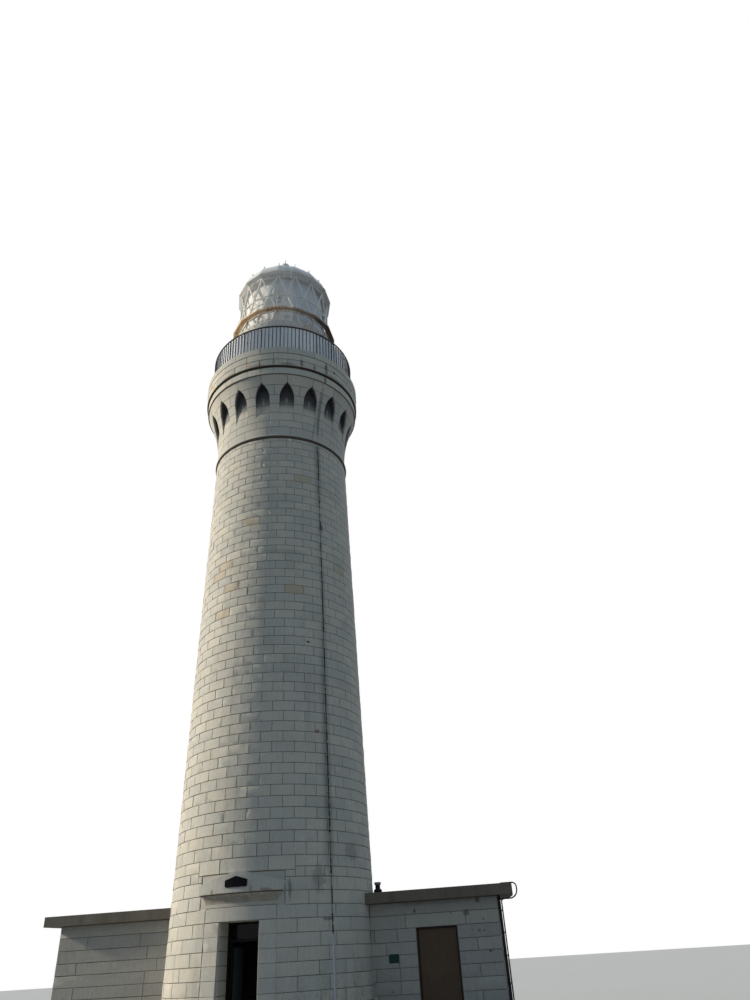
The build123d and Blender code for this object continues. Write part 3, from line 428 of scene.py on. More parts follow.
@dataclass(frozen=True)
class Granite:
    """Rough dressed granite with crystals, slightly different stones and runs of dirt."""

    name: str
    grey: Colour = (0.585, 0.565, 0.505)
    warm: Colour = (0.62, 0.58, 0.495)
    brown: Colour = (0.50, 0.40, 0.27)
    joints: EvenJoints | RowJoints | None = None
    runs: float = 0.3
    contrast: float = 0.10
    stained: bool = False
    niches: bool = False
    marks: tuple[Mark, ...] = ()
    joint_colour: Colour = (0.19, 0.165, 0.135)
    mortar_above: float | None = None
    painted_shadow_line: tuple[float, float] | None = None
    flat: bool = False

    def build(self) -> bpy.types.Material:
        """Makes the finish.

        Returns:
            The material.
        """
        g = Graph(self.name)
        p = g.place()
        x, y, z = g.split(p)
        azimuth = g.azimuth(x, y)
        cloud = g.noise(p, 1.1, 5.0)
        grain = g.noise(p, 46.0, 5.0, 0.7)
        crystal = g.cells(p, 95.0)
        tooth = g.noise(p, 13.0, 4.0, 0.65)
        if self.joints is None:
            mask = None
            tone = g.out(g.node("Attribute", {"attribute_name": "stone"}), "Fac")
        else:
            mask, tone = self.joints.draw(g, azimuth, z)
        base = g.mix(self.grey, self.warm, g.step(tone, 0.1, 0.9))
        base = g.mix(base, self.brown, g.step(tone, 0.95, 0.99) * 0.6)
        tooled = g.streaks(p, 24.0, 3.0, 4.0, 0.65)
        shade = (1.0 - self.contrast / 2) + self.contrast * tone + 0.30 * (cloud - 0.5) + 0.34 * (grain - 0.5)
        shade = shade + 0.22 * (tooth - 0.5) + 0.30 * (tooled - 0.5)
        shade = shade * g.step(crystal, 0.02, 0.30, 0.84, 1.03)
        base = g.mix(base, g.join(shade, shade, shade), 1.0, "MULTIPLY")
        run = g.streaks(p, 3.1, 0.16, 5.0, 0.6)
        base = g.mix(base, (0.15, 0.135, 0.11), g.step(run, 0.56, 0.82) * self.runs)
        base = g.mix(base, SOOT, g.fall(g.cells(p, 1.7), 0.0, 0.032) * 0.7)
        if self.stained:
            base = self._stained(g, base, azimuth, z, run, tooth)
        along, unit = (x, 1.0) if self.flat else (azimuth, METRES_IN_DEGREE)
        for mark in self.marks:
            base = mark.lay(g, base, along, unit, z, tooth)
        if self.niches:
            base = self._shaded(g, base, x, y, z, tooth)
        # Painted shadow: a dark band between two heights, for the shadow in a groove or under a moulding.
        if self.painted_shadow_line is not None:
            low, high = self.painted_shadow_line
            line = g.band(z, (low - 0.008, low + 0.008), (high - 0.008, high + 0.008))
            base = g.mix(base, (0.060, 0.045, 0.030), line * 0.9)
        height = tooth * 0.7 + grain * 0.25 + cloud * 0.3
        if mask is not None:
            base = g.mix(self.joint_colour, base, mask)
            height = height * 0.6 + mask * 1.4
        if self.mortar_above is not None:
            above = g.step(z, self.mortar_above - 0.002, self.mortar_above + 0.002)
            base = g.mix(base, self.joint_colour, above)
        return g.close(base, 0.74 + 0.3 * (grain - 0.5), g.bump(height, 0.014, 0.85), Specular_IOR_Level=0.3)

    def _stained(
        self, g: Graph, base: Signal, azimuth: Signal, z: Signal, run: Signal, tooth: Signal
    ) -> Signal:
        """Adds the green run beside the conductor and the damp foot.

        Args:
            g: The material.
            base: The colour under them.
            azimuth: Degrees round the tower.
            z: Height.
            run: Noise drawn out upright.
            tooth: Fine noise.

        Returns:
            The stained colour.
        """
        wet = g.fall(abs(azimuth - 49.0), 0.6, 5.0) * g.step(run, 0.30, 0.60) * g.step(z, 2.4, 4.5)
        base = g.mix(base, MOSS, wet * 0.45)
        foot = g.fall(z, 0.0, 2.6) * g.step(tooth + (run - 0.5), 0.40, 0.68)
        return g.mix(base, (0.17, 0.155, 0.13), foot * 0.45)

    def _shaded(self, g: Graph, base: Signal, x: Signal, y: Signal, z: Signal, tooth: Signal) -> Signal:
        """Darkens the heads of the niches with painted shade and old soot, and draws pale lime down their
        middles.

        Args:
            g: The material.
            base: The colour under it.
            x: First coordinate.
            y: Second coordinate.
            z: Height.
            tooth: Fine noise.

        Returns:
            The darkened colour.
        """
        u = (z - BELL_MIDDLE) / BELL_HALF_HEIGHT
        radius, slope, bend = BELL_CURVE
        outline = radius + u * (slope + u * bend)
        inside = g.step(outline - g.reach(x, y), 0.035, 0.10)
        # Painted shade with soot: the insides of the niches go dark towards their heads.
        head = g.step(z + (tooth - 0.5) * 0.3, 18.60, 19.45, 0.12, 0.93)
        base = g.mix(base, (0.024, 0.030, 0.040), inside * head)
        across = even_distance(g, g.azimuth(x, y), 11.2, 20.0)[0]
        middle = g.step(across, 9.0, 9.7) * g.band(z, (18.9, 19.0), (19.3, 19.45))
        return g.mix(base, (0.42, 0.42, 0.42), inside * middle * g.step(tooth, 0.35, 0.55) * 0.8)


@dataclass(frozen=True)
class Mortar:
    """Dark weathered joints behind the stones, with pale stone where the entrance is cut."""

    name: str = "dark_mortar"
    colour: Colour = (0.16, 0.14, 0.115)
    stone: Colour = (0.58, 0.555, 0.49)

    def build(self) -> bpy.types.Material:
        """Makes the finish.

        Returns:
            The material.
        """
        g = Graph(self.name)
        p = g.place()
        x, y, z = g.split(p)
        grit = g.noise(p, 60.0, 4.0, 0.7)
        cloud = g.noise(p, 3.0, 4.0)
        base = g.mix(self.colour, (0.26, 0.23, 0.19), g.step(grit, 0.4, 0.7))
        depth = (SHAFT_RADIUS - SHAFT_TAPER * z) - g.reach(x, y)
        cut = g.step(depth, 0.010, 0.016) * g.fall(z, 2.86, 2.88)
        beside = g.fall(abs(g.azimuth(x, y)), 23.3, 23.5) * g.band(z, (2.86, 2.88), (3.61, 3.62))
        cut = g.math("MAXIMUM", cut, beside) * g.fall(y, -1.8, -1.7)
        base = g.mix(base, g.mix(self.stone, scaled(self.stone, 0.8), cloud), cut)
        return g.close(base, 0.9, g.bump(grit, 0.004))


@dataclass(frozen=True)
class Concrete:
    """Weathered board-marked concrete with dark drips."""

    name: str
    colour: Colour = (0.125, 0.110, 0.088)
    wear: Colour = (0.175, 0.160, 0.130)
    drips: float = 0.6

    def build(self) -> bpy.types.Material:
        """Makes the finish.

        Returns:
            The material.
        """
        g = Graph(self.name)
        p = g.place()
        cloud = g.noise(p, 0.9, 6.0, 0.6)
        grit = g.noise(p, 70.0, 4.0, 0.7)
        run = g.streaks(p, 4.0, 0.35, 5.0, 0.6)
        pores = g.step(g.cells(p, 28.0), 0.0, 0.16)
        base = g.mix(self.colour, self.wear, g.step(cloud, 0.35, 0.72))
        base = g.mix(base, (0.055, 0.05, 0.045), g.step(run, 0.52, 0.74) * self.drips)
        base = g.mix(base, self.colour, g.step(grit, 0.35, 0.75) * 0.3)
        return g.close(base, 0.8 + 0.25 * (grit - 0.5), g.bump(grit * 0.5 + pores * 0.5, 0.006))


class RustPattern(Enum):
    """How rust lies on painted metal."""

    SPOTS = "spots"
    RUNS = "runs"


@dataclass(frozen=True)
class Paint:
    """Old paint on metal with dirt, chips and rust."""

    name: str
    colour: Colour
    rust: float = 0.2
    pattern: RustPattern = RustPattern.SPOTS
    rough: float = 0.45
    dirt: float = 0.25
    rusty_levels: tuple[tuple[float, float], ...] = ()
    pale_above: float | None = None
    gloss: float = 0.5

    def build(self) -> bpy.types.Material:
        """Makes the finish.

        Returns:
            The material.
        """
        g = Graph(self.name)
        p = g.place()
        z = g.split(p)[2]
        cloud = g.noise(p, 2.2, 5.0)
        fine = g.noise(p, 34.0, 5.0, 0.65)
        if self.pattern is RustPattern.RUNS:
            flow = g.streaks(p, 7.0, 0.55, 5.0, 0.65)
        else:
            flow = g.noise(p, 5.5, 6.0, 0.7)
        for level, reach in self.rusty_levels:
            flow = flow + g.step(abs(z - level), 0.0, reach, 0.22, 0.0)
        edge = 0.78 - 0.36 * self.rust
        level = flow + 0.10 * (fine - 0.5)
        rust = g.step(level, edge, edge + 0.10)
        base = g.mix(self.colour, scaled(self.colour, 0.62), g.step(cloud, 0.42, 0.8) * self.dirt)
        grime = g.streaks(p, 9.0, 0.8, 4.0, 0.6)
        base = g.mix(base, (0.16, 0.135, 0.105), g.step(grime, 0.56, 0.80) * self.dirt)
        oxide = g.mix((0.30, 0.125, 0.045), (0.12, 0.055, 0.032), g.step(fine, 0.35, 0.65))
        halo = g.step(level, edge - 0.10, edge + 0.02)
        base = g.mix(base, (0.50, 0.30, 0.15), halo * 0.42 * min(1.0, self.rust * 3))
        base = g.mix(base, oxide, rust * min(1.0, self.rust * 4))
        height = fine * 0.25 + (1.0 - rust) * 0.5
        if self.pale_above is not None:
            above = g.step(z, self.pale_above - 0.003, self.pale_above + 0.003)
            base = g.mix(base, (0.34, 0.33, 0.31), above)
        rough = self.rough + rust * 0.35 + 0.15 * (fine - 0.5)
        return g.close(base, rough, g.bump(height, 0.003), Specular_IOR_Level=self.gloss)


@dataclass(frozen=True)
class LitAndShadedPaint:
    """Old paint on a ring, painted lighter on its lit side and darker on its shaded side, with rust that
    differs from zone to zone.

    Each zone is the azimuth where it begins, its paint and how much of it is rust.
    """

    name: str
    zones: tuple[tuple[float, Colour, float], ...]
    rough: float = 0.7

    def build(self) -> bpy.types.Material:
        """Makes the finish.

        Returns:
            The material.
        """
        g = Graph(self.name)
        p = g.place()
        azimuth = g.azimuth(*g.split(p)[:2])
        cloud = g.noise(p, 3.2, 5.0, 0.6)
        fine = g.noise(p, 38.0, 5.0, 0.65)
        flakes = g.streaks(p, 9.0, 13.0, 6.0, 0.75)
        base: Signal | Colour = self.zones[0][1]
        amount: Value = self.zones[0][2]
        # Painted light and shade: each zone's paint is lighter towards the lit side and darker towards the
        # shaded side of the ring.
        for begin, paint, rust in self.zones[1:]:
            share = g.step(azimuth + (cloud - 0.5) * 14.0, begin - 5.0, begin + 5.0)
            base = g.mix(base, paint, share)
            amount = amount + (rust - amount) * share
        base = g.mix(base, (0.16, 0.12, 0.09), g.step(cloud, 0.58, 0.85) * 0.35)
        edge = 0.80 - 0.42 * amount
        level = flakes + 0.10 * (fine - 0.5)
        over = g.math("MULTIPLY", level - edge, 11.0, clamp=True)
        halo = g.math("MULTIPLY", level - (edge - 0.09), 11.0, clamp=True)
        oxide = g.mix((0.34, 0.135, 0.045), (0.13, 0.060, 0.034), g.step(fine, 0.35, 0.65))
        base = g.mix(base, (0.50, 0.31, 0.17), halo * 0.5)
        base = g.mix(base, oxide, over)
        return g.close(base, self.rough + over * 0.2, g.bump(fine * 0.3 + (1.0 - over) * 0.5, 0.003))


@dataclass(frozen=True)
class DoorPaint:
    """Flat paint on a door, with faint upright brush marks and dust."""

    name: str
    colour: Colour
    rough: float = 0.5
    dust: float = 0.3
    gloss: float = 0.12

    def build(self) -> bpy.types.Material:
        """Makes the finish.

        Returns:
            The material.
        """
        g = Graph(self.name)
        p = g.place()
        brush = g.streaks(p, 60.0, 1.2, 3.0)
        cloud = g.noise(p, 2.6, 5.0)
        base = g.mix(self.colour, scaled(self.colour, 1.35), g.step(cloud, 0.35, 0.75) * 0.7)
        base = g.mix(base, scaled(self.colour, 0.7), g.step(brush, 0.45, 0.75) * 0.4)
        low = g.step(g.split(p)[2], 0.15, 0.75, self.dust, 0.0) * g.step(cloud, 0.3, 0.7)
        base = g.mix(base, scaled(self.colour, 0.5, 0.06), low)
        rough = self.rough + 0.2 * (cloud - 0.5)
        return g.close(base, rough, g.bump(brush, 0.0012), Specular_IOR_Level=self.gloss)


@dataclass(frozen=True)
class Glass:
    """Window glass with a film of salt and dust."""

    name: str
    tint: Colour = (0.78, 0.83, 0.86)
    cover: float = 0.04
    film: float = 0.09
    gloss: float = 0.5

    def build(self) -> bpy.types.Material:
        """Makes the finish.

        Returns:
            The material.
        """
        g = Graph(self.name)
        p = g.place()
        film = g.streaks(p, 2.5, 0.8, 5.0, 0.6)
        alpha = self.cover + self.film * g.step(film, 0.45, 0.8)
        rough = 0.05 + 0.16 * g.step(film, 0.4, 0.8)
        return g.close(self.tint, rough, None, Alpha=alpha, IOR=1.45, Specular_IOR_Level=self.gloss)


@dataclass(frozen=True)
class Netting:
    """A thin pale blue sheet tied inside the railing."""

    name: str
    tint: Colour = (0.88, 0.92, 0.97)

    def build(self) -> bpy.types.Material:
        """Makes the finish.

        Returns:
            The material.
        """
        g = Graph(self.name)
        p = g.place()
        x, y, z = g.split(p)
        folds = g.noise(g.join(g.azimuth(x, y) * 0.9, z * 0.25, 0.0), 1.0, 4.0, 0.6)
        weave = g.noise(p, 160.0, 2.0)
        colour = g.mix(self.tint, (0.93, 0.95, 0.97), g.step(folds, 0.4, 0.7))
        alpha = 0.62 + 0.22 * g.step(folds, 0.35, 0.75) + 0.10 * (weave - 0.5)
        return g.close(colour, 0.6, g.bump(folds, 0.01), Alpha=alpha)


@dataclass(frozen=True)
class CurtainCloth:
    """Cream sailcloth with a plain weave and old marks, with painted light on its lit side and painted cool
    shade on its shaded side.
    """

    name: str = "curtain_cloth"
    cream: Colour = (0.93, 0.91, 0.86)
    shaded_cool: Colour = (0.84, 0.87, 0.90)

    def build(self) -> bpy.types.Material:
        """Makes the finish.

        Returns:
            The material.
        """
        g = Graph(self.name)
        p = g.place()
        x, y, z = g.split(p)
        azimuth = g.azimuth(x, y)
        wide = g.join(azimuth * 0.0292, z, 0.0)
        cloud = g.noise(wide, 2.2, 5.0)
        crease = g.noise(g.stretched(wide, (1.2, 9.0, 1.0)), 1.0, 3.0)
        threads = g.math("SINE", azimuth * 60.0) * g.math("SINE", z * 2200.0)
        # Painted light and shade: cream on the lit side, going cool towards the shaded side, with a sharp
        # shade edge at about 28 degrees.
        base = g.mix(self.cream, self.shaded_cool, g.step(azimuth, -6.0, 27.7, 0.0, 0.55))
        base = g.mix(base, self.shaded_cool, g.step(azimuth, 27.3, 28.0) * 0.45)
        base = g.mix(base, (0.42, 0.36, 0.27), g.step(cloud, 0.55, 0.85) * 0.35)
        mark = g.fall(abs(azimuth + 33.0), 0.6, 2.4) * g.band(z, (25.5, 25.8), (26.3, 26.7))
        base = g.mix(base, (0.62, 0.30, 0.09), mark * g.step(crease, 0.3, 0.6) * 0.85)
        smear = g.fall(abs(azimuth - 9.5), 1.0, 6.0) * g.band(z, (25.0, 25.2), (25.5, 25.95))
        base = g.mix(base, (0.27, 0.20, 0.14), smear * g.step(cloud, 0.40, 0.62) * 0.8)
        normal = g.bump(crease * 0.8 + cloud * 0.6 + threads * 0.01, 0.012)
        return g.close(base, 0.85, normal, Sheen_Weight=0.2)


# Modelling helpers


def deselect() -> None:
    """Leaves edit mode and deselects every object."""
    if bpy.context.object and bpy.context.object.mode != "OBJECT":
        bpy.ops.object.mode_set(mode="OBJECT")
    bpy.ops.object.select_all(action="DESELECT")


def activate(piece: bpy.types.Object) -> None:
    """Makes one object the only selected and active one.

    Args:
        piece: The object.
    """
    deselect()
    piece.select_set(True)
    bpy.context.view_layer.objects.active = piece


def pick(test: Callable[[object], bool], kind: str) -> None:
    """Selects faces or edges of the mesh in edit mode.

    Args:
        test: Says whether one face or edge is taken.
        kind: "FACE" or "EDGE".
    """
    bpy.ops.mesh.select_mode(type=kind)
    bpy.ops.mesh.select_all(action="DESELECT")
    mesh = bpy.context.object.data
    bm = bmesh.from_edit_mesh(mesh)
    group = bm.faces if kind == "FACE" else bm.edges
    for part in group:
        part.select = bool(test(part))
    bm.select_flush_mode()
    bmesh.update_edit_mesh(mesh)


def bisect(point: Sequence[float], normal: Sequence[float], clear: bool = False) -> None:
    """Cuts everything in edit mode by a plane.

    Args:
        point: A point on the plane.
        normal: Its normal.
        clear: Whether what lies on the normal's side is taken away.
    """
    bpy.ops.mesh.select_all(action="SELECT")
    bpy.ops.mesh.bisect(plane_co=point, plane_no=normal, clear_outer=clear, use_fill=False)


@dataclass
class Pattern:
    """The points and faces of one modelled thing, ready to be copied."""

    points: np.ndarray
    faces: list[tuple[int, ...]]

    @classmethod
    def taken(cls, piece: bpy.types.Object) -> "Pattern":
        """Takes the mesh out of an object and removes the object.

        Args:
            piece: The object.

        Returns:
            Its pattern.
        """
        deselect()
        mesh = piece.data
        points = np.array([v.co[:] for v in mesh.vertices], float)
        faces = [tuple(f.vertices) for f in mesh.polygons]
        bpy.data.objects.remove(piece)
        bpy.data.meshes.remove(mesh)
        return cls(points, faces)

    def copies(self, name: str, places: Iterable[Matrix]) -> bpy.types.Object:
        """Lays copies of the pattern in one mesh.

        Args:
            name: The new object's name.
            places: Where each copy stands.

        Returns:
            The object.
        """
        groups = []
        for place in places:
            turn = np.array(place)
            groups.append(self.points @ turn[:3, :3].T + turn[:3, 3])
        return self.gathered(name, groups)

    def gathered(
        self, name: str, groups: Sequence[np.ndarray], tones: Sequence[float] | None = None
    ) -> bpy.types.Object:
        """Makes one object of many moved copies.

        Args:
            name: The new object's name.
            groups: The points of each copy.
            tones: One value per copy, kept as the attribute "stone".

        Returns:
            The object.
        """
        count = len(self.points)
        faces = [tuple(i + count * k for i in face) for k in range(len(groups)) for face in self.faces]
        mesh = bpy.data.meshes.new(name)
        mesh.from_pydata(np.concatenate(groups).tolist(), [], faces)
        if tones is not None:
            values = mesh.attributes.new("stone", "FLOAT", "POINT")
            values.data.foreach_set("value", np.repeat(np.array(tones, np.float32), count))
        piece = bpy.data.objects.new(name, mesh)
        bpy.context.scene.collection.objects.link(piece)
        return piece


def softened(piece: bpy.types.Object, degrees: float = 35.0) -> None:
    """Shades a piece smooth where its faces meet at less than an angle.

    Args:
        piece: The piece.
        degrees: The angle.
    """
    activate(piece)
    bpy.ops.object.shade_smooth_by_angle(angle=math.radians(degrees))
    deselect()


def put(piece: bpy.types.Object, material: bpy.types.Material) -> None:
    """Gives a piece of the building its finish.

    Args:
        piece: The piece.
        material: Its finish.
    """
    piece.data.materials.clear()
    piece.data.materials.append(material)
    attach(piece, BUILDING)
    LOG.info("%s: %d faces", piece.name, len(piece.data.polygons))


def dress(node: str, material: bpy.types.Material) -> None:
    """Gives a construction node another finish.

    Args:
        node: The node's name.
        material: The finish.
    """
    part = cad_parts[node]
    part.data.materials.clear()
    part.data.materials.append(material)


def around(azimuth: float, radius: float, z: float, tilt: float = 0.0) -> Matrix:
    """Returns a place on the tower whose own -Y looks outwards.

    Args:
        azimuth: Degrees from the entrance.
        radius: Distance from the axis.
        z: Height.
        tilt: Degrees that the top leans back.

    Returns:
        The matrix.
    """
    turn = Matrix.Rotation(math.radians(azimuth), 4, "Z")
    lean = Matrix.Rotation(math.radians(-tilt), 4, "X")
    return turn @ Matrix.Translation((0.0, -radius, z)) @ lean


def ring(count: int, radius: float, z: float, first: float = 0.0) -> list[Matrix]:
    """Returns even places round the tower, from the azimuth of the first one."""
    return [around(first + 360.0 / count * k, radius, z) for k in range(count)]


def eased(edge: float, segments: int = 1) -> Pattern:
    """Eases every edge of the newest object and takes its pattern.

    Args:
        edge: The width of the eased edges.
        segments: Steps across each edge.

    Returns:
        The pattern.
    """
    piece = bpy.context.object
    bpy.ops.object.mode_set(mode="EDIT")
    bpy.ops.mesh.select_all(action="SELECT")
    bpy.ops.mesh.bevel(offset=edge, segments=segments, affect="EDGES")
    return Pattern.taken(piece)


def block(size: tuple[float, float, float], edge: float, segments: int = 1) -> Pattern:
    """Models a block with eased edges, centred on the origin.

    Args:
        size: Its length along X, Y and Z.
        edge: The width of the eased edges.
        segments: Steps across each edge.

    Returns:
        Its pattern.
    """
    deselect()
    bpy.ops.mesh.primitive_cube_add(size=1.0, scale=size)
    bpy.ops.object.transform_apply(location=False, rotation=False, scale=True)
    return eased(edge, segments)


def bolt(radius: float, height: float) -> Pattern:
    """Models a six-sided bolt head on a washer, standing out along -Y.

    Args:
        radius: Across the head's corners.
        height: How far it stands out.

    Returns:
        Its pattern.
    """
    deselect()
    washer = height * 0.4
    bpy.ops.mesh.primitive_cylinder_add(
        vertices=12, radius=radius * 1.5, depth=washer, location=(0, 0, washer / 2)
    )
    piece = bpy.context.object
    bpy.ops.object.mode_set(mode="EDIT")
    pick(lambda f: f.normal.z > 0.9, "FACE")
    bpy.ops.mesh.inset(thickness=radius * 0.5, depth=0.0)
    bpy.ops.mesh.extrude_region_move(TRANSFORM_OT_translate={"value": (0, 0, height - washer)})
    bpy.ops.mesh.inset(thickness=radius * 0.2, depth=height * 0.1)
    bpy.ops.mesh.select_all(action="SELECT")
    bpy.ops.transform.rotate(value=math.radians(-90), orient_axis="X", center_override=(0, 0, 0))
    pattern = Pattern.taken(piece)
    if pattern.points[:, 1].mean() > 0:
        pattern.points[:, 1] *= -1.0
        pattern.points[:, 0] *= -1.0
    return pattern


# Stonework


class Wall:
    """A surface on which stones are laid."""

    def point(self, along: np.ndarray, z: np.ndarray, out: np.ndarray) -> np.ndarray:
        """Returns points at a place along the wall, a height and a distance out of it."""
        raise NotImplementedError

    def metres(self, along: float) -> float:
        """Returns how many metres one unit along the wall measures."""
        raise NotImplementedError


@dataclass(frozen=True)
class RoundWall(Wall):
    """A wall round an upright axis; along is in degrees from -Y to +X."""

    radius: float
    taper: float = 0.0
    centre_y: float = 0.0

    def point(self, along: np.ndarray, z: np.ndarray, out: np.ndarray) -> np.ndarray:
        """Places points on the round wall.

        Args:
            along: Degrees from -Y to +X.
            z: Heights.
            out: Distances out of the wall.

        Returns:
            The points.
        """
        a = np.radians(along)
        r = self.radius - self.taper * z + out
        return np.stack([r * np.sin(a), self.centre_y - r * np.cos(a), z], axis=1)

    def metres(self, along: float) -> float:
        """Returns the arc of some degrees."""
        return math.radians(along) * self.radius


@dataclass(frozen=True)
class FlatWall(Wall):
    """A flat wall that faces -Y; along is X."""

    y: float

    def point(self, along: np.ndarray, z: np.ndarray, out: np.ndarray) -> np.ndarray:
        """Returns points on the flat wall."""
        return np.stack([along, self.y - out, z], axis=1)

    def metres(self, along: float) -> float:
        """Returns the same length."""
        return along


Stone = tuple[float, float, float, float]
SHAFT_WALL = RoundWall(SHAFT_RADIUS, SHAFT_TAPER)


@dataclass
class Mason:
    """Cuts one stone and lays copies of it, each with its own rough face."""

    width: float = 0.62
    height: float = 0.285
    depth: float = 0.016
    bed: float = 0.006
    joint: float = 0.007
    arris: float = 0.007
    margin: float = 0.022
    sway: tuple[float, float] = (-0.003, 0.004)
    crease: float = 28.0
    near: float = 1e-4
    seed: int = 7

    def cut(self, columns: int, rows: int = 2) -> Pattern:
        """Models one stone.

        Args:
            columns: How often its face is divided across.
            rows: How often its face is divided up.

        Returns:
            The stone, with its face towards -Y and its back open in the wall.
        """
        deselect()
        w = self.width - 2 * self.joint
        h = self.height - 2 * self.joint
        d = self.depth + self.bed
        middle = (self.bed - self.depth) / 2
        bpy.ops.mesh.primitive_cube_add(size=1.0, location=(0, middle, 0), scale=(w, d, h))
        piece = bpy.context.object
        bpy.ops.object.transform_apply(location=True, rotation=False, scale=True)
        bpy.ops.object.mode_set(mode="EDIT")
        for k in range(1, columns):
            bisect((w * (k / columns - 0.5), 0, 0), (1, 0, 0))
        for k in range(1, rows):
            bisect((0, 0, h * (k / rows - 0.5)), (0, 0, 1))
        pick(lambda f: f.normal.y > 0.9, "FACE")
        bpy.ops.mesh.delete(type="FACE")

        def rim(edge: object) -> bool:
            """Says whether an edge is on the outline of the face.

            Args:
                edge: The edge.

            Returns:
                Whether it is.
            """
            a, b = (v.co for v in edge.verts)
            if max(a.y, b.y) > -self.depth + self.near:
                return False
            sides = abs(a.x - b.x) < self.near and abs(abs(a.x) - w / 2) < self.near
            ends = abs(a.z - b.z) < self.near and abs(abs(a.z) - h / 2) < self.near
            return sides or ends

        pick(rim, "EDGE")
        bpy.ops.mesh.bevel(offset=self.arris, segments=1, affect="EDGES")
        return Pattern.taken(piece)

    def lay(
        self, name: str, wall: Wall, stones: Sequence[Stone], columns: int, relief: float,
        brown: Sequence[tuple[float, float]] = (),
    ) -> bpy.types.Object:
        """Lays stones on a wall.

        Args:
            name: The new object's name.
            wall: The surface.
            stones: Each stone's start and end along the wall, and its bottom and top.
            columns: Divisions across a stone.
            relief: How rough the faces are.
            brown: Points along the wall and up, whose stones are brown.

        Returns:
            The stonework as one object.
        """
        chance = np.random.default_rng(self.seed + len(name))
        pattern = self.cut(columns)
        x, y, z = pattern.points.T
        front = y < -self.depth + self.near
        unit = wall.metres(1.0)
        groups = []
        tones = []
        for a0, a1, z0, z1 in stones:
            across = self._fitted(x, self.width / 2, (a1 - a0) * unit / 2)
            up = self._fitted(z, self.height / 2, (z1 - z0) / 2)
            rough = chance.normal(0.0, relief, len(y)) + chance.uniform(*self.sway)
            out = -y + np.where(front, rough, 0.0)
            groups.append(wall.point((a0 + a1) / 2 + across / unit, (z0 + z1) / 2 + up, out))
            marked = any(a0 < a < a1 and z0 < b < z1 for a, b in brown)
            tones.append(1.0 if marked else PLAIN_TONE * chance.random())
        piece = pattern.gathered(name, groups, tones)
        softened(piece, self.crease)
        return piece

    def _fitted(self, value: np.ndarray, half: float, wanted: float) -> np.ndarray:
        """Stretches the middle of a stone and keeps its edges as they are.

        Args:
            value: The points' places along one axis.
            half: Half the size of the stone that was cut.
            wanted: Half the size of the stone that is laid.

        Returns:
            The new places.
        """
        inner = half - self.margin
        share = max(wanted - self.margin, 0.001) / inner
        near = np.abs(value) > inner
        return np.where(near, np.sign(value) * (wanted - (half - np.abs(value))), value * share)


